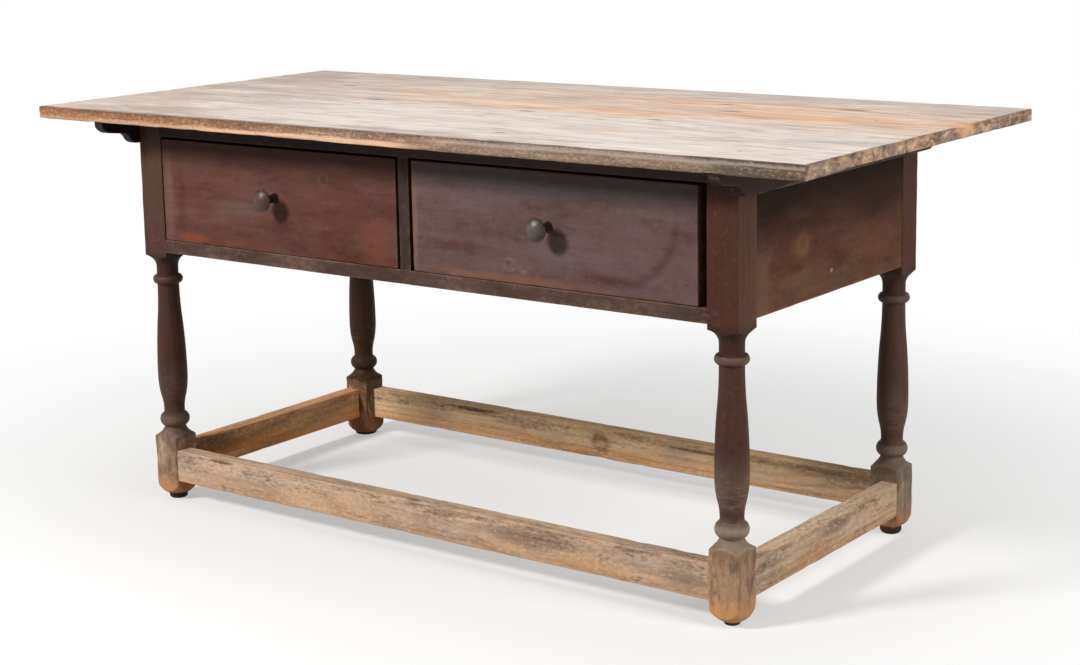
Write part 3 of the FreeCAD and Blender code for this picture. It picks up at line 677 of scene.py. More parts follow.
@dataclass(frozen=True)
class WornWood(Wood):
    """Stretchers: paint long gone, dry wood with open grain and dark stains.

    Args:
        wood: main colour.
        orange: colour of the less weathered wood near the lower edge.
        grime_and_shade: how much of the dark crust is left.
        marks: patches on it.
        grey: colour of the weathered wood.
        pale: colour of its lightest streaks.
        dark: colour of the crust.
        low: height of the lower edge, in metres.
        high: height of the upper edge, in metres.
    """

    wood: Colour
    orange: Colour
    grime_and_shade: float
    marks: tuple[Mark, ...]
    grey: Colour = "a89684"
    pale: Colour = "ead6b8"
    dark: Colour = "3a2b21"
    low: float = 0.0385
    high: float = 0.098

    def paint_on(self, g: Graph) -> None:
        """Fill the node tree."""
        lines, fibres, streaks = self.growth(g, 30.0), self.fibres(g), self.streaks(g)
        z = g.parts()[2]
        cloud, crust = self.patches(g, 0.4, 16.0), self.patches(g, 0.42, 210.0, 0.74)
        where = self.patches(g, 0.25, 34.0, 0.65)
        lifted = z + (cloud - 0.5) * 0.05 + (where - 0.5) * 0.03
        colour = g.coats(self.wood, (cloud, 0.42, 0.64, 0.5, self.grey),
                         (lifted, self.low + 0.034, self.low + 0.004, 0.6, self.orange))
        ragged = cloud * 0.5 + where * 0.5
        for mark in self.marks:
            colour = mark.lay(g, colour, ragged)
        colour = g.mix(lines * 0.25, colour, "8a6446")
        colour = g.coats(colour, (streaks, 0.52, 0.7, 0.4, "6f5540"), (streaks, 0.46, 0.32, 0.35, self.pale))
        upper = (z + (cloud - 0.5) * 0.03).rise(self.high - 0.035, self.high - 0.01)
        upper = upper * z.rise(self.high + 0.001, self.high - 0.003)
        patch = (where + (upper - 0.5) * 0.14).rise(0.45, 0.6)
        colour = g.mix(crust.rise(0.47, 0.66) * (patch * 0.75 + 0.25) * self.grime_and_shade, colour, self.dark)
        colour = g.coats(colour, (crust, 0.46, 0.34, 0.4, self.pale),
                         (where + (upper - 0.5) * 0.2, 0.6, 0.72, self.grime_and_shade * 0.6, "5d4938"),
                         (g.arris() + (crust - 0.5), 0.6, 1.0, 0.35, self.orange))
        relief = fibres * 0.4 + (1.0 - lines) * 0.4 + streaks * 0.5 + crust * 0.6
        g.surface(colour, 0.7 + cloud * 0.16, relief, 0.8 * MM, gloss=0.12)


@dataclass(frozen=True)
class PlainPine(Wood):
    """Planed pine that was never painted, browned by age: insides and runners.

    Args:
        wood: main colour.
        late: colour of the growth lines.
        dust: colour of the dust in its pores.
        gap_shade_front: y of the front's back face; up to about there the sides are darkened as painted shade
            of the gap beside the front, or None.
    """

    wood: Colour = "a9845b"
    late: Colour = "7b5533"
    dust: Colour = "564231"
    gap_shade_front: float | None = None

    def paint_on(self, g: Graph) -> None:
        """Fill the node tree."""
        lines, fibres, streaks = self.growth(g, 24.0), self.fibres(g), self.streaks(g)
        cloud = self.patches(g, 0.5, 8.0)
        colour = g.coats(g.mix(lines * 0.45, self.wood, self.late), (fibres, 0.5, 0.72, 0.3, self.late),
                         (streaks, 0.5, 0.7, 0.3, self.dust), (cloud, 0.5, 0.66, 0.4, self.dust))
        # Painted shade: the sides turn near black where they stand in the dark gap beside the front.
        if self.gap_shade_front is not None:
            y = g.parts()[1] + (cloud - 0.5) * 0.01
            colour = g.coats(colour, (y, self.gap_shade_front + 0.003, self.gap_shade_front, 0.9, "2e1e18"))
        relief = fibres * 0.4 + (1.0 - lines) * 0.4 + streaks * 0.3
        g.surface(colour, 0.66 + cloud * 0.14, relief, 0.4 * MM)


@dataclass(frozen=True)
class KnobWood(Wood):
    """Turned knob, dark and polished by hands.

    Args:
        face: colour of the rubbed face.
        centre: middle of the face.
    """

    face: Colour
    centre: Place

    def paint_on(self, g: Graph) -> None:
        """Fill the node tree."""
        lines, fibres, cloud = self.growth(g, 14.0), self.fibres(g), g.noise(90.0, 4.0, 0.6)
        colour = g.coats("2b1d18", (cloud, 0.4, 0.62, 0.5, "4a3329"))
        colour = Touch(self.centre, (0.022, 0.012, 0.022), self.face, 0.65).lay(g, colour, cloud)
        colour = g.coats(colour, (g.arris() + (cloud - 0.5), 0.5, 1.1, 0.35, "7d6252"))
        colour = g.mix(lines * 0.2, colour, "1c110d")
        g.surface(colour, 0.32 + cloud * 0.18, fibres * 0.3 + cloud * 0.5, 0.3 * MM, 0.05, 0.3)


@dataclass(frozen=True)
class PegWood(Finish):
    """End grain of a whittled peg, dirt in its pores.

    Args:
        wood: main colour.
    """

    wood: Colour

    def paint_on(self, g: Graph) -> None:
        """Fill the node tree."""
        pores, cloud = g.noise(900.0, 2.0, 0.7), g.noise(140.0, 3.0, 0.6)
        colour = g.coats(self.wood, (pores, 0.45, 0.7, 0.3, "1d140f"), (cloud, 0.5, 0.7, 0.15, "8a6a50"))
        g.surface(colour, 0.7 + cloud * 0.1, pores * 0.6 + cloud * 0.4, 0.4 * MM)


@dataclass(frozen=True)
class ForgedIron(Finish):
    """Hand-forged nails, brown with age."""

    def paint_on(self, g: Graph) -> None:
        """Fill the node tree."""
        scale, rust = g.noise(500.0, 4.0, 0.65), g.noise(160.0, 3.0, 0.6).rise(0.45, 0.62)
        g.feed(g.find("BSDF_PRINCIPLED").inputs["Metallic"], 0.85 - rust * 0.6)
        colour = g.mix(rust * 0.7, "2b2827", "5a3522")
        g.surface(colour, 0.55 + scale * 0.25, scale, 0.3 * MM, gloss=0.5)


def link(name: str, data: bpy.types.ID) -> bpy.types.Object:
    """Make an object of a mesh, camera or lamp and put it into the scene."""
    data.name = name
    made = bpy.data.objects.new(name, data)
    bpy.context.scene.collection.objects.link(made)
    return made


def ribs(levels: int, sides: int) -> list[tuple[int, ...]]:
    """Number the faces of a closed turned piece: its quads, then its lower and its upper end.

    Args:
        levels: how many levels it has, from its foot up.
        sides: how many vertices each level has.

    Returns:
        The vertex numbers of each face.
    """
    faces = [(i * sides + k, i * sides + (k + 1) % sides,
              (i + 1) * sides + (k + 1) % sides, (i + 1) * sides + k)
             for i in range(levels - 1) for k in range(sides)]
    return faces + [tuple(range(sides))[::-1], tuple(range((levels - 1) * sides, levels * sides))]


@dataclass
class Mesh:
    """Points and faces on their way to a Blender mesh.

    Args:
        points: places of the vertices, in metres.
        faces: vertex numbers of each face.
        arris: 1 at an edge of the piece, falling to 0 on its faces.
        flat: numbers of the faces that stay flat in shading.
    """

    points: np.ndarray
    faces: list[tuple[int, ...]]
    arris: np.ndarray
    flat: tuple[int, ...] = ()

    def build(self) -> bpy.types.Mesh:
        """Make the Blender mesh."""
        data = bpy.data.meshes.new("piece")
        data.from_pydata([tuple(p) for p in self.points], [], self.faces)
        data.attributes.new("arris", "FLOAT", "POINT").data.foreach_set(
            "value", np.asarray(self.arris, np.float32))
        smooth = np.ones(len(self.faces), bool)
        smooth[list(self.flat)] = False
        data.polygons.foreach_set("use_smooth", smooth)
        data.validate()
        data.update()
        return data


def stations(length: float, edge: float, pitch: float) -> np.ndarray:
    """Space grid lines over a length, close together near both ends.

    Args:
        length: the whole length.
        edge: radius of the edges, which gets the close lines.
        pitch: distance of the lines between.

    Returns:
        Offsets from 0 to the length.
    """
    close = np.array([0.0, 0.35, 0.7, 1.05, 1.7, 2.8]) * edge
    close = close[close < length * 0.4]
    free = length - 2 * close[-1]
    count = max(1, round(free / pitch))
    middle = close[-1] + free * np.arange(1, count) / count
    return np.concatenate([close, middle, (length - close)[::-1]])


def shell(counts: tuple[int, int, int]) -> tuple[np.ndarray, list[tuple[int, ...]]]:
    """Number the shell of a box lattice.

    Args:
        counts: how many grid lines each axis has.

    Returns:
        Lattice indices of the shell's vertices, and its quads, facing out.
    """
    grid = np.indices(counts)
    on_shell = np.zeros(counts, bool)
    for axis, count in enumerate(counts):
        on_shell |= (grid[axis] == 0) | (grid[axis] == count - 1)
    ids = np.full(counts, -1)
    ids[on_shell] = np.arange(on_shell.sum())
    quads = []
    for axis in range(3):
        for last in (False, True):
            side = np.take(ids, -1 if last else 0, axis=axis)
            if axis == 1:
                side = side.T
            a, b, c, d = side[:-1, :-1], side[1:, :-1], side[1:, 1:], side[:-1, 1:]
            ring = (a, b, c, d) if last else (a, d, c, b)
            quads += [tuple(int(v) for v in q) for q in np.stack([r.ravel() for r in ring], 1)]
    return np.stack([grid[axis][on_shell] for axis in range(3)], 1), quads


@dataclass
class Plank:
    """A sawn piece with soft edges, a slightly uneven face and nicks.

    Args:
        low: lowest corner.
        high: highest corner.
        grain: direction of the fibres.
        edge: radius of its edges.
        pitch: distance of the grid lines.
        swell: how far the faces wander.
        nick: how deep the dents along the edges are.
        seed: offset of the noise.
        butted: whether its ends stand against posts, so that only its long edges wear.
        bend: a change of shape that each point goes through last.
    """

    low: Vector
    high: Vector
    grain: Grain
    edge: float
    pitch: float
    swell: float
    nick: float
    seed: float
    butted: bool = False
    bend: Callable[[np.ndarray], np.ndarray] | None = None

    def rough(self, points: np.ndarray, scale: float, stretch: float, offset: float) -> np.ndarray:
        """Sample noise that is drawn out along the grain.

        Args:
            points: places to sample at.
            scale: cycles per metre across the grain.
            stretch: the share of that along the grain.
            offset: moves the sample away from other ones.

        Returns:
            One value between about -1 and 1 for each point.
        """
        scales = np.full(3, scale)
        scales[self.grain.value] *= stretch
        moved = points * scales + self.seed * 7.3 + offset
        return np.array([noise.noise(Vector(p)) for p in moved])

    def build(self) -> bpy.types.Mesh:
        """Build the mesh."""
        low, high = np.array(self.low), np.array(self.high)
        pitches = np.full(3, self.pitch)
        pitches[self.grain.value] *= 1.5
        lines = [stations(high[i] - low[i], self.edge, pitches[i]) + low[i] for i in range(3)]
        index, quads = shell(tuple(len(line) for line in lines))
        points = np.stack([lines[i][index[:, i]] for i in range(3)], 1)
        gaps = np.minimum(points - low, high - points)
        if self.butted:
            gaps[:, self.grain.value] += 1.0
        near = np.sort(gaps, axis=1)[:, 1]
        arris = np.clip(1 - near / (4 * self.edge + 3 * MM), 0, 1)
        radius = self.edge * (1 + 0.45 * self.rough(points, 14.0, 1.0, 3.1))
        core = np.clip(points, low + radius[:, None], high - radius[:, None])
        out = points - core
        length = np.linalg.norm(out, axis=1)
        out = out / np.maximum(length, 1e-9)[:, None]
        points = core + out * radius[:, None]
        inward = self.swell * (1 + self.rough(points, 9.0, 0.3, 11.7)) / 2
        dents = np.clip(self.rough(points, 45.0, 0.6, 23.9) - 0.25, 0, 1) * self.nick * 2
        points = points - out * (inward + dents * arris ** 2)[:, None]
        if self.bend:
            points = self.bend(points)
        return Mesh(points, quads, arris).build()


def arc(start: tuple[float, float], end: tuple[float, float], radius: float, turn: int,
        steps: int = 14) -> list[tuple[float, float]]:
    """Sample an arc of a turned outline.

    Args:
        start: radius and height where it starts.
        end: radius and height where it ends.
        radius: radius of the arc.
        turn: 1 where it bulges away from the axis, -1 where it is hollow.
        steps: number of chords.

    Returns:
        The points after the start.
    """
    a, b = Vector(start), Vector(end)
    chord = b - a
    rise = math.sqrt(max(radius ** 2 - (chord.length / 2) ** 2, 0.0))
    centre = (a + b) / 2 + Vector((-chord.y, chord.x)).normalized() * rise * turn
    first = math.atan2(a.y - centre.y, a.x - centre.x)
    last = math.atan2(b.y - centre.y, b.x - centre.x)
    sweep = (last - first) % TURN if turn > 0 else -((first - last) % TURN)
    return [(centre.x + radius * math.cos(first + sweep * i / steps),
             centre.y + radius * math.sin(first + sweep * i / steps)) for i in range(1, steps + 1)]


def easing(run: float, step: float) -> float:
    """Radius of an arc that starts along a run and leaves it by a step."""
    return (run * run + step * step) / (step * 2)


def bulge(chord: float, rise: float) -> float:
    """Radius of an arc from its chord and its height over the chord."""
    return (chord * chord / 4 + rise * rise) / (rise * 2)


def soft_min(a: np.ndarray, b: np.ndarray, blend: float) -> np.ndarray:
    """Take the smaller of two radii with a rounded change between them."""
    share = np.clip(0.5 + 0.5 * (b - a) / blend, 0, 1)
    return b * (1 - share) + a * share - blend * share * (1 - share)


@dataclass
class Leg:
    """A leg: square post, turning, square block and foot, cut from one piece.

    Args:
        node: the CAD node that it stands for.
        seed: offset of the noise.
        foot_base_radius: radius where it stands on the floor.
        foot_radius: largest radius of the foot.
        foot_rise: height of that radius.
        foot_height: height of the whole foot.
        ankle_radius: radius where the foot meets the block.
        rounding_height: height of the block's rounded bottom.
        size: width of the square post.
        height: height of its upper end.
        post_low: height of its lower end.
        blank_share: radius of the outline where the square shows, as a share of that width.
        block_top: height of the block's upper end.
        flare: height of the curve over the block.
        flare_radius: radius of that curve.
        bead: height of the bead.
        hollow: height of the narrow part over it.
        belly: height from there to the widest place.
        ring: height of the ring.
        neck: height of the neck over the ring.
        bead_neck_radius: radius under and over the bead.
        belly_radius: largest radius of the turning.
        hollow_radius: radius of the narrow part.
        vase_neck_radius: radius under and over the ring.
        rounding_radius: radius of the curve under the block.
        hollow_share: share of the belly's height that is hollow.
        vase_share: share of the height over the belly that is round.
        post_wear: how far the post's corners are rubbed off.
        block_wear: how far the block's corners are rubbed off.
        around: tangents of the angles that sample a quarter of the turn.
    """

    node: str
    seed: float
    foot_base_radius: float = 14 * MM
    foot_radius: float = 19 * MM
    foot_rise: float = 8 * MM
    foot_height: float = 14 * MM
    ankle_radius: float = 18 * MM
    rounding_height: float = 36.5 * MM
    size: float = 55 * MM
    height: float = 716 * MM
    post_low: float = 463 * MM
    blank_share: float = 0.78
    block_top: float = 119.5 * MM
    flare: float = 19 * MM
    flare_radius: float = 26 * MM
    bead: float = 26 * MM
    hollow: float = 5 * MM
    belly: float = 67 * MM
    ring: float = 17.5 * MM
    neck: float = 14.5 * MM
    bead_neck_radius: float = 19.2 * MM
    belly_radius: float = 27.2 * MM
    hollow_radius: float = 19 * MM
    vase_neck_radius: float = 19.8 * MM
    rounding_radius: float = 45 * MM
    hollow_share: float = 0.42
    vase_share: float = 0.57
    post_wear: float = 0.7 * MM
    block_wear: float = 1.9 * MM
    around: tuple[float, ...] = (-1, -0.975, -0.94, -0.88, -0.78, -0.62, -0.42, -0.2, 0.0, 0.2, 0.42,
                                 0.62, 0.78, 0.88, 0.94, 0.975)

    def outline(self) -> np.ndarray:
        """Give the turned outline as rows of radius and height, from the floor up."""
        blank = self.size * self.blank_share
        bead_low = self.block_top + self.flare
        bead_high = bead_low + self.bead
        hollow = bead_high + self.hollow
        belly = hollow + self.belly
        cove = blank - self.vase_neck_radius
        neck_top = self.post_low - cove
        ring_top = neck_top - self.neck
        vase_top = ring_top - self.ring
        low_radius = (self.hollow_radius + self.belly_radius) / 2
        high_radius = (self.belly_radius + self.vase_neck_radius) / 2
        low_run = self.belly * self.hollow_share
        high_run = (vase_top - belly) * self.vase_share
        low_step, high_step = low_radius - self.hollow_radius, self.belly_radius - high_radius
        bead_bulge = bulge(self.bead, self.belly_radius - self.bead_neck_radius)
        ring_bulge = bulge(self.ring, self.belly_radius - self.vase_neck_radius)
        foot_bend = easing(self.foot_rise, self.foot_radius - self.foot_base_radius)
        path = [(self.foot_base_radius, 0.0)]
        for radius, height, bend, turn in (
                (self.foot_radius, self.foot_rise, foot_bend, 1),
                (self.ankle_radius, self.foot_height, 0.0, 0),
                (blank, self.foot_height + self.rounding_height, self.rounding_radius, 1),
                (blank, self.block_top, 0.0, 0),
                (self.bead_neck_radius, bead_low, self.flare_radius, -1),
                (self.bead_neck_radius, bead_high, bead_bulge, 1),
                (self.hollow_radius, hollow, 0.0, 0),
                (low_radius, hollow + low_run, easing(low_run, low_step), -1),
                (self.belly_radius, belly, easing(self.belly - low_run, low_step), 1),
                (high_radius, belly + high_run, easing(high_run, high_step), 1),
                (self.vase_neck_radius, vase_top, easing(vase_top - belly - high_run, high_step), -1),
                (self.vase_neck_radius, ring_top, ring_bulge, 1),
                (self.vase_neck_radius, neck_top, 0.0, 0),
                (blank, self.post_low, cove, -1),
                (blank, self.height, 0.0, 0)):
            end = (radius, height)
            path += arc(path[-1], end, bend, turn) if turn else [end]
        return np.array(path)

    def build(self) -> bpy.types.Mesh:
        """Build the mesh; its lower and upper ends stay flat."""
        low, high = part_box(self.node)
        centre = (low + high) / 2
        outline = self.outline()
        turned = outline[:, 1]
        levels = np.concatenate([
            np.arange(0.0, self.post_low + 4 * MM, 1.5 * MM),
            np.arange(self.post_low + 6 * MM, self.height - 1 * MM, 9 * MM), [self.height]])
        levels = np.unique(np.round(np.concatenate([levels, turned]), 6))
        angles = np.concatenate([np.arctan(self.around) + math.pi / 2 * k for k in range(4)])
        radii = np.interp(levels, turned + np.arange(len(turned)) * 1e-9, outline[:, 0])
        z, angle = np.meshgrid(levels, angles, indexing="ij")
        cosine, sine = np.cos(angle), np.sin(angle)
        half = self.size / 2
        square = half / np.maximum(np.abs(cosine), np.abs(sine))
        spots = np.stack([cosine * half, sine * half, z], -1).reshape(-1, 3)
        rough, slow = (np.array([noise.noise(Vector(p * scale) + Vector(move))
                                 for p in spots]).reshape(z.shape)
                       for scale, move in ((38.0, (self.seed, 0.0, self.seed * 3)),
                                           (9.0, (0.0, self.seed, 5.0))))
        wear = np.where(z < self.post_low - 40 * MM, self.block_wear, self.post_wear)
        corner = half * math.sqrt(2) - wear * (1.0 + 0.9 * rough)
        radius = soft_min(np.repeat(radii[:, None], len(angles), 1), square, 0.8 * MM)
        radius = soft_min(radius, corner, 1.2 * MM)
        blurred = np.stack([np.interp(levels + step, levels, row) for row in radius.T
                            for step in (-11 * MM, -5 * MM, 5 * MM, 11 * MM)])
        blurred = blurred.reshape(len(angles), 4, len(levels)).mean(1).T
        beside = sum(np.roll(radius, k, axis=1) for k in (-3, -2, 2, 3)) / 4
        outward = cosine * math.copysign(1, centre.x) + sine * math.copysign(1, centre.y)
        exposed = np.where(z > self.post_low - 4 * MM, np.clip(outward - 0.4, 0, 1), 1.0)
        arris = np.clip((radius - blurred) / (3.5 * MM), 0, 1)
        arris = np.maximum(arris, np.clip((radius - beside) / (2.6 * MM), 0, 1) ** 1.5 * exposed)
        radius = radius - (0.1 + 0.06 * slow + 0.06 * rough) * MM
        points = np.stack([centre.x + radius * cosine, centre.y + radius * sine, z], -1)
        faces = ribs(len(levels), len(angles))
        ends = (len(faces) - 2, len(faces) - 1)
        return Mesh(points.reshape(-1, 3), faces, arris.ravel(), ends).build()


def lathe(outline: list[tuple[float, float]], sides: int, stand: Matrix, jitter: float,
          seed: float) -> Mesh:
    """Turn an outline about its axis.

    Args:
        outline: radius and height of each level.
        sides: how many vertices each level has.
        stand: takes the piece from its own axis to its place.
        jitter: how far from round it may be.
        seed: offset of the noise.

    Returns:
        A closed mesh with its outer levels worn.
    """
    largest = max(radius for radius, _ in outline)
    points, arris = [], []
    for radius, height in outline:
        for k in range(sides):
            angle = TURN * k / sides
            spot = Vector((math.cos(angle), math.sin(angle), height / largest))
            real = radius + jitter * noise.noise(spot * 1.7 + Vector((seed, seed, seed)))
            points.append(tuple(stand @ Vector((real * math.cos(angle), real * math.sin(angle), height))))
            arris.append(max(0.0, (radius / largest - 0.75) * 4))
    return Mesh(np.array(points), ribs(len(outline), sides), np.array(arris))


def standing(foot: Vector, outward: Vector) -> Matrix:
    """Give the matrix that stands a turned piece at a place, its axis along a direction."""
    return Matrix.Translation(foot) @ outward.to_track_quat("Z", "Y").to_matrix().to_4x4()


def join(meshes: list[Mesh]) -> Mesh:
    """Put several meshes into one."""
    faces, start = [], 0
    for mesh in meshes:
        faces += [tuple(v + start for v in f) for f in mesh.faces]
        start += len(mesh.points)
    return Mesh(np.concatenate([m.points for m in meshes]), faces,
                np.concatenate([m.arris for m in meshes]))


def dress(made: str, node: str, data: bpy.types.Mesh, body: Body,
          material: bpy.types.Material) -> None:
    """Make a piece with its finish, put it on its body and hide the CAD node that it replaces.

    Args:
        made: how it was made; the piece's name begins with it.
        node: the CAD node that it replaces.
        data: its mesh.
        body: the body that it moves with.
        material: its finish.
    """
    piece = link(f"{made}_{node}", data)
    data.materials.append(material)
    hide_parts(node)
    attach(piece, body.value)
    log.info("%s: %d faces, rides on %s", piece.name, len(data.polygons), body.value)


def refinish(node: str, material: bpy.types.Material) -> None:
    """Keep the shape of a CAD node and give it a finish."""
    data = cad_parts[node].data
    data.materials.clear()
    data.materials.append(material)
    log.info("%s keeps its shape", node)


def islands(node: str) -> list[tuple[Vector, Vector]]:
    """Give the box of each solid in a CAD node.

    Args:
        node: name of the node.

    Returns:
        Lowest and highest corner of each solid, in a fixed order.
    """
    bm = bmesh.new()
    bm.from_mesh(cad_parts[node].data)
    bmesh.ops.remove_doubles(bm, verts=bm.verts, dist=1e-6)
    seen, boxes = set(), []
    for start in bm.verts:
        if start.index in seen:
            continue
        stack, points = [start], []
        seen.add(start.index)
        while stack:
            vertex = stack.pop()
            points.append(vertex.co.copy())
            for edge in vertex.link_edges:
                other = edge.other_vert(vertex)
                if other.index not in seen:
                    seen.add(other.index)
                    stack.append(other)
        boxes.append(tuple(Vector([pick(p[i] for p in points) for i in range(3)])
                           for pick in (min, max)))
    bm.free()
    return sorted(boxes, key=lambda pair: tuple(round(v, 4) for v in pair[0]))


def softened(node: str, width: float) -> bpy.types.Mesh:
    """Copy the mesh of a CAD node with its edges broken, as a plane and a rub leave them.

    Args:
        node: the node to copy.
        width: width of the broken edge.

    Returns:
        The copy.
    """
    bm = bmesh.new()
    bm.from_mesh(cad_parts[node].data)
    bmesh.ops.remove_doubles(bm, verts=bm.verts, dist=1e-5)
    bmesh.ops.dissolve_limit(bm, angle_limit=math.radians(1.0), verts=bm.verts, edges=bm.edges)
    sharp = [e for e in bm.edges if len(e.link_faces) == 2 and e.calc_face_angle() > math.radians(35)]
    bmesh.ops.bevel(bm, geom=sharp, offset=width, segments=2, profile=0.6, affect="EDGES",
                    clamp_overlap=True)
    bmesh.ops.triangulate(bm, faces=[f for f in bm.faces if len(f.verts) > 4])
    data = bpy.data.meshes.new("piece")
    bm.to_mesh(data)
    bm.free()
    return data


@dataclass
class Top:
    """The three planks of the top, the front one thicker along its front edge.

    Args:
        edge: radius of the planks' edges.
        nick: depth of the dents along them.
        notch_y: y of the dip in the right end.
        notch_reach: half its width.
        notch_depth: its depth.
        notch_run: how far it reaches along the top.
        drop_left: how far the front edge hangs down at the left.
        drop_right: and at the right.
        drop_from: x where the change between them starts.
        drop_to: x where it ends.
        lip: how far the drop reaches back over the battens.
        overhang: how far it reaches back over the frame's front.
        end_run: how far it reaches back outside the battens.
        batten_x: x of the battens.
        batten_clear: half the width that is kept free for a batten.
        batten_fade: how soon the drop comes back beside it.
        boards: CAD nodes, from the front.
    """

    edge: float = 2.6 * MM
    nick: float = 1.8 * MM
    notch_y: float = 0.122
    notch_reach: float = 20 * MM
    notch_depth: float = 5 * MM
    notch_run: float = 26 * MM
    drop_left: float = 1.6 * MM
    drop_right: float = 4.2 * MM
    drop_from: float = -350 * MM
    drop_to: float = 200 * MM
    lip: float = 4 * MM
    overhang: float = 85 * MM
    end_run: float = 150 * MM
    batten_x: float = 640 * MM
    batten_clear: float = 12 * MM
    batten_fade: float = 30 * MM
    boards: tuple[str, ...] = ("top_front_board", "top_middle_board", "top_back_board")

    def drop(self, points: np.ndarray, front: float) -> np.ndarray:
        """Give how far the underside hangs below the frame's upper plane.

        Args:
            points: places on a plank.
            front: y of the front edge.

        Returns:
            Drops, in metres: most at the front edge, none over frame and battens.
        """
        across = np.abs(points[:, 0])
        clear = np.clip((np.abs(across - self.batten_x) - self.batten_clear) / self.batten_fade, 0, 1)
        run = np.where(across > self.batten_x, self.end_run, self.overhang)
        run = self.lip + (run - self.lip) * clear
        share = np.clip(1 - (points[:, 1] - front) / run, 0, 1)
        swing = np.clip((points[:, 0] - self.drop_from) / (self.drop_to - self.drop_from), 0, 1)
        full = self.drop_left + (self.drop_right - self.drop_left) * swing ** 2 * (3 - 2 * swing)
        return full * share ** 2 * (3 - 2 * share)

    def build(self) -> None:
        """Build the planks."""
        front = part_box(self.boards[0])[0].y
        for number, node in enumerate(self.boards):
            low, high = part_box(node)

            def worn(points: np.ndarray) -> np.ndarray:
                """Hang the underside and wear a dip into the upper arris of the right end."""
                beside = np.exp(-((points[:, 1] - self.notch_y) / self.notch_reach) ** 2)
                along = np.clip((points[:, 0] - high.x + self.notch_run) / self.notch_run, 0, 1)
                above = np.clip((points[:, 2] - low.z) / (high.z - low.z), 0, 1)
                sunk = points.copy()
                sunk[:, 2] -= self.drop(points, front) * (1 - above)
                sunk[:, 2] -= self.notch_depth * beside * along ** 2 * above
                sunk[:, 0] -= self.notch_depth * 0.5 * beside * along ** 6 * above
                return sunk

            plank = Plank(low, high, Grain.X, self.edge, pitch=9 * MM, swell=0.5 * MM, nick=self.nick,
                          seed=number + 1.0, bend=worn)
            finish = ScrubbedPine(f"scrubbed_pine_{number + 1}", Grain.X, number * 3.7)
            dress("plank", node, plank.build(), Body.FRAME, finish.material())


@dataclass
class Battens:
    """The cleats under the ends of the top, their tips cut to an ogee.

    Args:
        edge: radius of their edges.
        nose: length of the rounded tip.
        land: length of the nearly straight part after it.
        curve: length of the ogee.
        tip_depth: depth at the very tip.
        nose_depth: depth where the land starts.
        land_depth: depth where the land ends.
        shades: paint, haze and wear of the left and of the right one.
    """

    edge: float = 2.4 * MM
    nose: float = 23 * MM
    land: float = 27 * MM
    curve: float = 33 * MM
    tip_depth: float = 6.5 * MM
    nose_depth: float = 23 * MM
    land_depth: float = 26.5 * MM
    shades: tuple[tuple[Colour, Colour, float], ...] = (("1a1210", "261c18", 0.1),
                                                        ("301b14", "3e281f", 0.4))

    def depth(self, reach: np.ndarray, full: float) -> np.ndarray:
        """Give the depth at each distance from the tip.

        Args:
            reach: distances from the nearer tip.
            full: depth of the uncut middle.

        Returns:
            Depths, in metres.
        """
        land_start, curve_start = self.nose, self.nose + self.land
        half = self.curve / 2
        rounding = easing(self.nose, self.nose_depth - self.tip_depth)
        ogee = easing(half, (full - self.land_depth) / 2)
        from_land = np.clip(land_start - reach, 0, self.nose)
        nose = self.nose_depth - (rounding - np.sqrt(rounding ** 2 - from_land ** 2))
        land = self.nose_depth + (self.land_depth - self.nose_depth) * np.clip(
            (reach - land_start) / self.land, 0, 1)
        first = np.clip(reach - curve_start, 0, half)
        second = np.clip(curve_start + self.curve - reach, 0, half)
        low_half = self.land_depth + (ogee - np.sqrt(ogee ** 2 - first ** 2))
        high_half = full - (ogee - np.sqrt(ogee ** 2 - second ** 2))
        curved = np.where(reach < curve_start + half, low_half, high_half)
        return np.where(reach < land_start, nose, np.where(reach < curve_start, land, curved))

    def build(self) -> None:
        """Build both battens."""
        for number, node in enumerate(("left_batten", "right_batten")):
            low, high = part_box(node)

            def shaped(points: np.ndarray) -> np.ndarray:
                """Cut the tips of a straight batten to their outline."""
                full = high.z - low.z
                reach = np.maximum(np.minimum(points[:, 1] - low.y, high.y - points[:, 1]), 0)
                share = self.depth(reach, full) / full
                return np.stack([points[:, 0], points[:, 1],
                                 high.z - (high.z - points[:, 2]) * share], 1)

            plank = Plank(low, high, Grain.Y, self.edge, pitch=3.5 * MM, swell=0.3 * MM, nick=0.8 * MM,
                          seed=4.0 + number, bend=shaped)
            paint, haze, wear = self.shades[number]
            finish = OldPaint(f"paint_{node}", Grain.Y, number * 2.0, paint, haze, "7c6d60", 0.4, wear)
            dress("cleat", node, plank.build(), Body.FRAME, finish.material())


@dataclass
class Legs:
    """The four legs, each with its own wear."""

    def build(self) -> None:
        """Build the legs."""
        # Each foot in mm: base radius, largest radius and its height, height, ankle radius, and the
        # height of the block's rounding. The back right leg keeps the usual foot.
        looks = {
            "front_right": (0.4, (10.5, 13, 3, 5, 12.5, 45.5), TurnedPaint(
                "turned_paint_front_right", Grain.Z, 0.0, bare_top=0.122, block="b28c6a", foot_top=0.005,
                redness=0.5, grey="a08c79", scuffs=0.3, side="4f3324", orange="dc9c68")),
            "front_left": (2.1, (13, 17, 5, 9, 17, 41.5), TurnedPaint(
                "turned_paint_front_left", Grain.Z, 1.9, bare_top=0.124, block="987860", foot_top=0.014,
                redness=0.6, grey="6f5c52", paint="503528")),
            "back_right": (3.8, (), TurnedPaint(
                "turned_paint_back_right", Grain.Z, 3.8, bare_top=0.115, block="98826f",
                foot_top=0.0135, redness=0.35, grey="82715f", turning="4b372f")),
            # The back left leg's colours are darker throughout, as painted shade for its place at the back
            # under the top.
            "back_left": (5.5, (19.5, 22, 3, 5, 22, 26), TurnedPaint(
                "turned_paint_back_left", Grain.Z, 5.7, bare_top=0.118, block="704d2c", foot_top=0.006,
                redness=0.2, grey="3a2716", turning="3a2719", orange="a2693f")),
        }
        for corner, (seed, foot, finish) in looks.items():
            leg = Leg(f"{corner}_leg", seed, *(size * MM for size in foot))
            dress("turned", leg.node, leg.build(), Body.FRAME, finish.material())


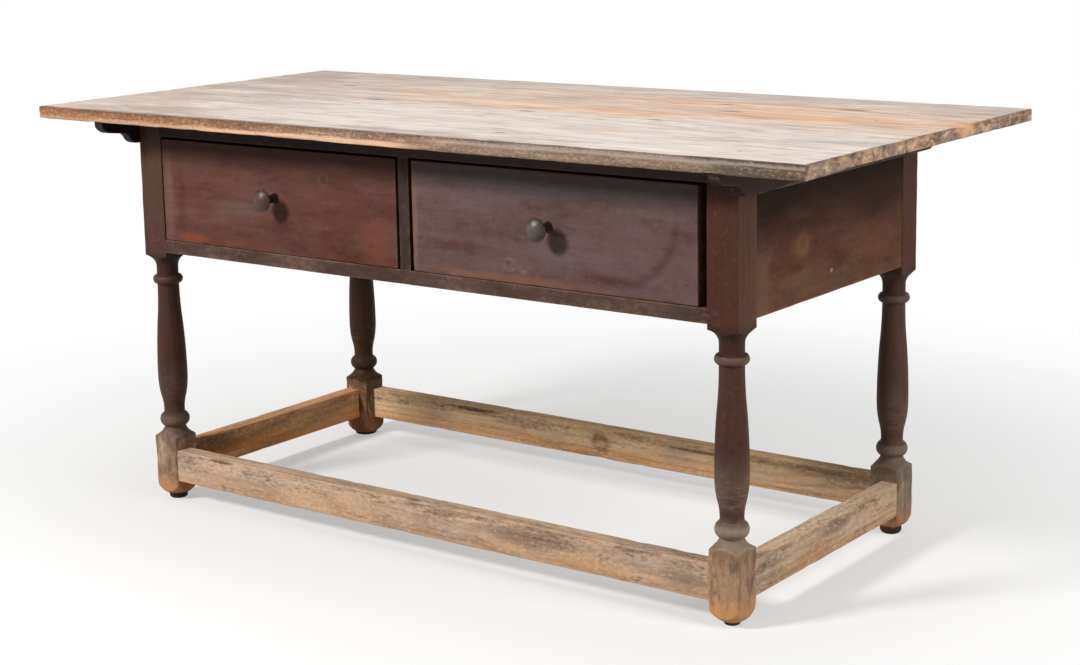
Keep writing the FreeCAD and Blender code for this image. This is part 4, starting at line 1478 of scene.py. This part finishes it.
@dataclass
class Box:
    """Aprons, rails and divider of the painted frame.

    Args:
        edge: radius of their edges.
        end: x of the right apron's outer face.
        face: y of the front rails' outer face.
    """

    edge: float = 1.0 * MM
    end: float = 0.629
    face: float = -0.2945

    def build(self) -> None:
        """Build each part of the frame with its own shade of paint."""
        end, face = self.end, self.face
        # The last mark of the right apron is painted shade under the top's end overhang.
        apron_marks = (
            Touch((end, -0.1, 0.567), (0.05, 0.04, 0.032), "7d5a44", 0.5),
            Ring((end, -0.1, 0.567), 0.014, 0.01, "96745a", 0.28),
            Touch((end, -0.006, 0.511), (0.02, 0.007, 0.005), "b08c74", 0.7),
            Touch((end, -0.225, 0.53), (0.05, 0.03, 0.08), "6e5842", 0.4),
            Touch((end, 0.15, 0.54), (0.05, 0.06, 0.05), "6c3f2e", 0.45),
            Touch((end, 0.13, 0.6), (0.05, 0.1, 0.04), "35201a", 0.45), PaintedShade(0.52, 0.67, 0.92))
        # Painted shade under the top for the left and back aprons.
        shade_under_top = (PaintedShade(0.49, 0.68, 0.6),)
        lapped = tuple(Touch((x, face, 0.483), (0.05, 0.03, 0.05), "4b2f25", 0.9)
                       for x in (-0.597, 0.597))
        # Painted shadow of the top, near black, over most of the upper front rail.
        shaded = (Touch((-0.5, face, 0.7), (0.7, 0.05, 0.2), "120b09", 0.85),)
        shades = {
            "lower_front_rail": (Grain.X, "4a352d", "625049", 0.5, 0.4, lapped),
            "upper_front_rail": (Grain.X, "3b2d28", "504240", 0.3, 0.1, shaded),
            # The divider's mark is painted shade under the top.
            "drawer_divider": (Grain.Z, "342420", "493b38", 0.4, 0.3, (PaintedShade(0.61, 0.66),)),
            "left_apron": (Grain.Y, "4f372b", "665140", 0.5, 0.3, shade_under_top),
            "right_apron": (Grain.Y, "58372a", "6c5342", 0.5, 0.3, apron_marks),
            "back_apron": (Grain.X, "4f372b", "634e41", 0.5, 0.3, shade_under_top),
        }
        for number, (node, (grain, paint, haze, haze_share, wear, marks)) in enumerate(shades.items()):
            plank = Plank(*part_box(node), grain, self.edge, pitch=14 * MM, swell=0.15 * MM,
                          nick=0.6 * MM, seed=7.0 + number, butted=True)
            finish = OldPaint(f"paint_{node}", grain, 3.0 + number, paint, haze, haze_share=haze_share,
                              wear_share=wear, marks=marks, gloss=0.03 if "apron" in node else 0.1)
            dress("painted", node, plank.build(), Body.FRAME, finish.material())


@dataclass
class Stretchers:
    """The four bars near the floor, rubbed bare by feet.

    Args:
        edge: radius of their edges.
        front: y of the front bar's outer face.
        back: y of the back bar's inner face.
        left: x of the left bar's inner face.
        right: x of the right bar's outer face.
        dark: colour of their stains.
    """

    edge: float = 2.2 * MM
    front: float = -0.2915
    back: float = 0.26
    left: float = -0.5955
    right: float = 0.627
    dark: Colour = "33241b"

    def looks(self) -> dict[str, tuple[Grain, Colour, Colour, float, tuple[Mark, ...]]]:
        """Give grain, both woods, grime and marks of each bar."""
        front, back, left, right = self.front, self.back, self.left, self.right
        return {
            "front_stretcher": (Grain.X, "d2b093", "d0a27b", 0.6, (
                Touch((-0.011, front, 0.099), (0.022, 0.02, 0.006), self.dark, 0.9),
                Touch((-0.464, front, 0.094), (0.03, 0.02, 0.004), self.dark, 0.8),
                Touch((0.25, front, 0.075), (0.12, 0.02, 0.018), "77614e", 0.6),
                Touch((0.36, front, 0.055), (0.1, 0.03, 0.02), "d0a273", 0.7),
                Touch((-0.26, front, 0.07), (0.16, 0.03, 0.018), "d2ab82", 0.5),
                Touch((0.53, front, 0.07), (0.05, 0.03, 0.03), "8f7b68", 0.6))),
            "back_stretcher": (Grain.X, "f0c898", "e2a874", 0.52, (
                Touch((-0.31, back, 0.092), (0.09, 0.02, 0.006), self.dark, 0.85),
                Touch((0.21, back, 0.085), (0.1, 0.02, 0.004), self.dark, 0.7),
                Touch((-0.005, back, 0.068), (0.03, 0.03, 0.022), "a06a3e", 0.6),
                Ring((-0.005, back, 0.068), 0.016, 0.01, "5c3a22", 0.6),
                Touch((0.5, back, 0.088), (0.13, 0.05, 0.02), "6a5848", 0.6),
                Touch((-0.1, back, 0.05), (0.35, 0.03, 0.018), "e0a26a", 0.6))),
            # The left bar's pale woods are partly painted light, lightened for the light that reaches its
            # inner face under the table.
            "left_stretcher": (Grain.Y, "ecae72", "e49a58", 0.45, (
                Touch((left, -0.19, 0.08), (0.03, 0.09, 0.04), "4a3020", 0.75),
                Touch((left, -0.05, 0.06), (0.03, 0.12, 0.022), "cf7f3f", 0.6),
                Touch((left, 0.14, 0.07), (0.03, 0.08, 0.03), "b8966e", 0.5))),
            "right_stretcher": (Grain.Y, "c8ab8c", "c99b71", 0.65, (
                Touch((right, -0.2, 0.07), (0.03, 0.07, 0.04), "8b7a67", 0.6),
                Touch((right, -0.04, 0.055), (0.03, 0.09, 0.02), "c08a62", 0.6),
                Touch((right, 0.02, 0.082), (0.03, 0.06, 0.014), "6d5c4e", 0.6),
                Touch((0.611, 0.0, 0.099), (0.03, 0.24, 0.005), "dcc4a6", 0.5))),
        }

    def build(self) -> None:
        """Build each bar with its own wood."""
        for number, (node, (grain, wood, orange, grime_and_shade, marks)) in enumerate(self.looks().items()):
            plank = Plank(*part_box(node), grain, self.edge, pitch=7 * MM, swell=0.6 * MM,
                          nick=1.6 * MM, seed=15.0 + number, butted=True)
            finish = WornWood(f"worn_wood_{number + 1}", grain, number * 2.3, wood, orange, grime_and_shade, marks)
            dress("worn", node, plank.build(), Body.FRAME, finish.material())


@dataclass
class Pegs:
    """Whittled pegs and pins, their heads just proud of the wood.

    Args:
        sides: how many facets each has.
        proud: how far the heads stand out.
        sunk: how far those of the top lie in.
    """

    sides: int = 10
    proud: float = 0.4 * MM
    sunk: float = 0.2 * MM

    def peg(self, low: Vector, high: Vector, number: int) -> Mesh:
        """Build one peg in the box of its CAD solid.

        Args:
            low: lowest corner of the solid.
            high: highest corner of the solid.
            number: its number in the node, for its own shape.

        Returns:
            The peg's mesh.
        """
        size = high - low
        axis = max(range(3), key=lambda i: size[i])
        length, radius = size[axis], min(size) / 2
        middle = (low + high) / 2
        outward = Vector((0.0, 0.0, 0.0))
        outward[axis] = 1.0 if middle[axis] > 0 else -1.0
        dome = self.proud if axis != 2 else -self.sunk
        outline = [(radius * 0.7, -length), (radius, -length * 0.8), (radius, dome - 0.5 * MM),
                   (radius * 0.86, dome - 0.1 * MM), (radius * 0.45, dome)]
        stand = standing(middle + outward * size[axis] / 2, outward)
        return lathe(outline, self.sides, stand, radius * 0.12, number * 1.3)

    def build(self) -> None:
        """Build the pegs of each node as one piece."""
        shades = {"top_pegs": "9a806b", "batten_pins": "33251e", "rail_pegs": "3a2820",
                  "apron_pegs": "46301f", "stretcher_pegs": "9a7c60"}
        for node, shade in shades.items():
            whittled = join([self.peg(low, high, n) for n, (low, high) in enumerate(islands(node))])
            finish = PegWood(f"peg_{node}", shade)
            dress("whittled", node, whittled.build(), Body.FRAME, finish.material())


@dataclass
class Runners:
    """What the drawers run on and against, inside the frame.

    Args:
        strip_edge: width of the broken edges of runners and kickers.
        stop_edge: width of the broken edges of the stops.
    """

    strip_edge: float = 0.7 * MM
    stop_edge: float = 0.5 * MM

    def build(self) -> None:
        """Build runners, kickers, stops and nails."""
        pine = PlainPine("runner_pine", Grain.Y, 1.1, "8c6a47", "63452a").material()
        for kind in ("runner", "kicker"):
            for place in ("left", "centre", "right"):
                node = f"{place}_{kind}"
                dress("planed", node, softened(node, self.strip_edge), Body.FRAME, pine)
        stops = PlainPine("stop_pine", Grain.X, 2.2).material()
        dress("planed", "drawer_stops", softened("drawer_stops", self.stop_edge), Body.FRAME,
              stops)
        refinish("frame_nails", ForgedIron("forged_frame_nails").material())


@dataclass
class Drawer:
    """One drawer: painted front with its knob, planed sides, back and bottom.

    Args:
        side: left or right.
        body: the body that it rides on.
        paint: main colour of the front.
        haze: colour of the bloom on the front.
        face: colour of the knob's rubbed face.
        seed: offset of the noise.
        marks: patches and rings on the front.
        knob_sides: how many corners each level of the knob has.
        front_edge: radius of the front's edges.
        case_edge: width of the broken edges of sides, back and bottom.
        socket_relief: how much each end of the front is drawn in.
        shank: length of the knob's shank.
        shank_radius: radius of the shank.
        seat_radius: radius of the collar on the front.
        neck_radius: smallest radius of the neck.
        neck_length: length of the neck.
        rim_radius: radius where the neck meets the head.
        rim_height: height from there to the widest place.
        head_radius: largest radius of the head.
        head_depth: height of the whole head.
    """

    side: str
    body: Body
    paint: Colour
    haze: Colour
    face: Colour
    seed: float
    marks: tuple[Mark, ...]
    knob_sides: int = 72
    front_edge: float = 1.6 * MM
    case_edge: float = 0.5 * MM
    socket_relief: float = 0.3 * MM
    shank: float = 26 * MM
    shank_radius: float = 7 * MM
    seat_radius: float = 9.5 * MM
    neck_radius: float = 7.5 * MM
    neck_length: float = 29 * MM
    rim_radius: float = 17 * MM
    rim_height: float = 5 * MM
    head_radius: float = 19 * MM
    head_depth: float = 13 * MM

    def name(self, part: str) -> str:
        """Name a CAD node of this drawer."""
        return f"{self.side}_drawer_{part}"

    def front(self) -> None:
        """Build the painted front."""
        node = self.name("front")
        low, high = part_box(node)
        inset = Vector((self.socket_relief, 0.0, 0.0))
        plank = Plank(low + inset, high - inset, Grain.X, self.front_edge, pitch=9 * MM,
                      swell=0.25 * MM, nick=1.0 * MM, seed=self.seed)
        finish = OldPaint(f"paint_{self.side}_drawer", Grain.X, self.seed, self.paint, self.haze,
                          "7e5d49", marks=self.marks)
        dress("painted", node, plank.build(), self.body, finish.material())

    def knob(self) -> None:
        """Build the turned knob."""
        node = self.name("knob")
        low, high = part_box(node)
        seat = self.shank
        rim = seat + self.neck_length
        crown, edge = rim + self.head_depth, rim + self.rim_height
        outline = [(self.shank_radius * 0.9, 0.0), (self.shank_radius, 1 * MM),
                   (self.shank_radius, seat), (self.seat_radius, seat)]
        for radius, height, bend, turn, steps in (
                (self.neck_radius, seat + self.neck_length / 2, self.neck_length * 0.8, -1, 8),
                (self.rim_radius, rim, self.neck_length * 0.95, -1, 10),
                (self.head_radius, edge, self.rim_height * 0.95, 1, 8),
                (0.3 * MM, crown, easing(self.head_radius, crown - edge), 1, 16)):
            outline += arc(outline[-1], (radius, height), bend, turn, steps)
        start = Vector(((low.x + high.x) / 2, high.y, (low.z + high.z) / 2))
        stand = standing(start, Vector((0.0, -1.0, 0.0)))
        turned = lathe(outline, self.knob_sides, stand, 0.25 * MM, self.seed)
        finish = KnobWood(f"knob_wood_{self.side}", Grain.Y, 0.4, self.face, (start.x, low.y, start.z))
        dress("turned", node, turned.build(), self.body, finish.material())

    def case(self) -> None:
        """Build sides, back and bottom, and finish the nails."""
        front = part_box(self.name("front"))[1].y
        along = PlainPine(f"drawer_pine_{self.side}", Grain.Y, self.seed, gap_shade_front=front).material()
        across = PlainPine(f"drawer_back_pine_{self.side}", Grain.X, self.seed + 1).material()
        for part, pine in (("left_side", along), ("right_side", along), ("back", across),
                           ("bottom", across)):
            node = self.name(part)
            dress("planed", node, softened(node, self.case_edge), self.body, pine)
        refinish(self.name("nails"), ForgedIron(f"forged_{self.side}_nails").material())

    def build(self) -> None:
        """Build the whole drawer."""
        self.front()
        self.knob()
        self.case()
        log.info("%s drawer built", self.side)


@dataclass
class Studio:
    """Camera, floor and lights.

    Args:
        width: width of the photograph, in pixels.
        height: its height.
        focal: focal length in pixels of the photograph's width.
        axis_row: row of the photograph that the lens axis meets.
        place: where the camera stands.
        yaw: how far it is turned to the left, in degrees.
        pitch: how far it looks up.
        roll: how far it leans.
        sensor: width of the sensor, in mm.
        middle: what the lamps point at.
        rings: radii of the floor's rings.
        sides: corners of each ring.
        lamps: name, place, size and power of each lamp.
    """

    width: float = 1080.0
    height: float = 665.0
    focal: float = 2042.2
    axis_row: float = 250.0
    place: Place = (2.14045, -2.83118, 1.12671)
    yaw: float = 36.41
    pitch: float = -10.283
    roll: float = -1.011
    sensor: float = 36.0
    middle: Place = (0.0, 0.0, 0.45)
    rings: tuple[float, ...] = (0.9, 1.6, 2.4, 3.6, 6.0, 12.0, 40.0)
    sides: int = 64
    lamps: tuple[tuple[str, Place, tuple[float, float], float], ...] = (
        ("key_front", (-1.45, -3.3, 2.74), (0.8, 0.8), 165.0),
        ("side_right", (3.2, -0.2, 1.8), (1.2, 2.4), 72.0),
        ("overhead", (-0.2, 0.6, 3.2), (2.8, 2.0), 26.0))

    def camera(self) -> None:
        """Set the camera where the photograph was taken from."""
        yaw, pitch, roll = (math.radians(v) for v in (self.yaw, self.pitch, self.roll))
        ahead = Vector((-math.sin(yaw) * math.cos(pitch), math.cos(yaw) * math.cos(pitch),
                        math.sin(pitch)))
        right = ahead.cross(Vector((0.0, 0.0, 1.0))).normalized()
        up = right.cross(ahead)
        right, up = (right * math.cos(roll) + up * math.sin(roll),
                     up * math.cos(roll) - right * math.sin(roll))
        data = bpy.data.cameras.new("camera")
        data.sensor_fit = "HORIZONTAL"
        data.sensor_width = self.sensor
        data.lens = self.focal / self.width * self.sensor
        data.shift_y = -(self.height / 2 - self.axis_row) / self.width
        made = link("camera", data)
        basis = Matrix((right, up, -ahead)).transposed().to_4x4()
        made.matrix_world = Matrix.Translation(self.place) @ basis
        bpy.context.scene.camera = made

    def seen(self, g: Graph) -> Socket:
        """Tell rays that show the surroundings, 1, from those that only carry light, 0."""
        path = g.add("ShaderNodeLightPath")
        camera, glossy, through = (Socket(g, path.outputs[f"Is {kind} Ray"])
                                   for kind in ("Camera", "Glossy", "Transmission"))
        return camera.most(glossy).most(through)

    def floor(self) -> None:
        """Lay a pale floor that fades to white far from the table."""
        bm = bmesh.new()
        centre = bm.verts.new((0.0, 0.0, 0.0))
        angles = [TURN * k / self.sides for k in range(self.sides)]
        rows = [[bm.verts.new((r * math.cos(a), r * math.sin(a), 0.0)) for a in angles]
                for r in self.rings]
        for k in range(self.sides):
            after = (k + 1) % self.sides
            bm.faces.new((centre, rows[0][k], rows[0][after]))
            for inner, outer in zip(rows, rows[1:]):
                bm.faces.new((inner[k], outer[k], outer[after], inner[after]))
        data = bpy.data.meshes.new("floor")
        bm.to_mesh(data)
        bm.free()
        made = link("floor", data)
        g = Graph(bpy.data.materials.new("pale_floor"))
        seen = self.seen(g)
        shader = g.find("BSDF_PRINCIPLED")
        g.feed(shader.inputs["Base Color"], g.mix(seen, "a09e9c", "f8f7f5"))
        g.feed(shader.inputs["Roughness"], 0.7)
        white = g.add("ShaderNodeEmission", None, {"Color": "ffffff", "Strength": 1.0})
        fade = (g.away((0.0, 0.0, 0.0)).rise(0.55, 2.0) * 0.6 + 0.4) * seen
        blend = g.add("ShaderNodeMixShader", None, {0: fade, 1: Socket(g, shader.outputs[0]),
                                                    2: Socket(g, white.outputs[0])})
        g.feed(g.find("OUTPUT_MATERIAL").inputs["Surface"], Socket(g, blend.outputs[0]))
        data.materials.append(g.owner)

    def softbox(self, name: str, place: Place, size: tuple[float, float], power: float) -> None:
        """Hang an area lamp that points at the middle of the table.

        Args:
            name: name of the lamp.
            place: where it hangs.
            size: its width and height.
            power: its power in watts.
        """
        data = bpy.data.lights.new(name, "AREA")
        data.shape = "RECTANGLE"
        data.size, data.size_y = size
        data.energy = power
        spot = Vector(place)
        turn = (Vector(self.middle) - spot).to_track_quat("-Z", "Y").to_matrix().to_4x4()
        link(name, data).matrix_world = Matrix.Translation(spot) @ turn

    def sky(self) -> None:
        """Give a soft grey surround that the camera sees as white."""
        world = bpy.data.worlds.new("surround")
        bpy.context.scene.world = world
        g = Graph(world)
        back = g.find("BACKGROUND")
        g.feed(back.inputs["Color"], "ffffff")
        g.feed(back.inputs["Strength"], self.seen(g) * 0.93 + 0.07)

    def build(self) -> None:
        """Build the studio."""
        self.camera()
        self.floor()
        self.sky()
        for lamp in self.lamps:
            self.softbox(*lamp)
        bpy.context.scene.view_settings.view_transform = "Standard"
        log.info("studio built")


def on_front(*rows: tuple[float, float, float, float, Colour, float]) -> tuple[Touch, ...]:
    """Lay patches on the drawer fronts: x, z, half the width and height, colour and share."""
    return tuple(Touch((x, FRONT, z), (wide, 0.02, tall), colour, share)
                 for x, z, wide, tall, colour, share in rows)


FRONT = -0.2935
# Each drawer's last mark is painted shade, darkening the front's upper part under the top's overhang.
LEFT_MARKS = (
    *on_front((-0.56, 0.58, 0.016, 0.11, "74554e", 0.7), (-0.528, 0.57, 0.014, 0.08, "532b1b", 0.6),
              (-0.5, 0.505, 0.05, 0.012, "854427", 0.7), (-0.4, 0.565, 0.07, 0.02, "6b574d", 0.5),
              (-0.07, 0.54, 0.05, 0.06, "774436", 0.5), (-0.2, 0.6, 0.12, 0.04, "664038", 0.4)),
    Ring((-0.185, FRONT, 0.633), 0.01, 0.005, "7d6157", 0.3), PaintedShade(0.61, 0.67, 0.55))
RIGHT_MARKS = (
    Ring((0.415, FRONT, 0.62), 0.107, 0.014, "472523", 0.55, (0.5, 0.0, -0.86)),
    Ring((0.209, FRONT, 0.525), 0.01, 0.006, "8d7468", 0.35),
    # The grey band along the top of the right front, at x 0.3 and z 0.66, is painted sheen in the shade under
    # the top.
    *on_front((0.236, 0.515, 0.012, 0.007, "8d7468", 0.4), (0.3, 0.66, 0.4, 0.03, "575252", 0.75),
              (0.1, 0.545, 0.08, 0.012, "532a2a", 0.5), (0.2, 0.503, 0.22, 0.009, "855a47", 0.6),
              (0.015, 0.58, 0.008, 0.1, "876553", 0.6), (0.35, 0.515, 0.12, 0.02, "60352f", 0.4)),
    PaintedShade(0.61, 0.67, 0.2))


def main() -> None:
    """Build every part of the table and the studio."""
    logging.basicConfig(level=logging.INFO, format="%(message)s")
    drawers = (Drawer("left", Body.LEFT, "583229", "6b4b43", "5b352a", 31.0, LEFT_MARKS),
               Drawer("right", Body.RIGHT, "5f4742", "735e5f", "625a57", 37.0, RIGHT_MARKS))
    for part in (Studio(), Top(), Battens(), Legs(), Box(), Stretchers(), Pegs(), Runners(), *drawers):
        part.build()


if __name__ == "__main__":
    main()
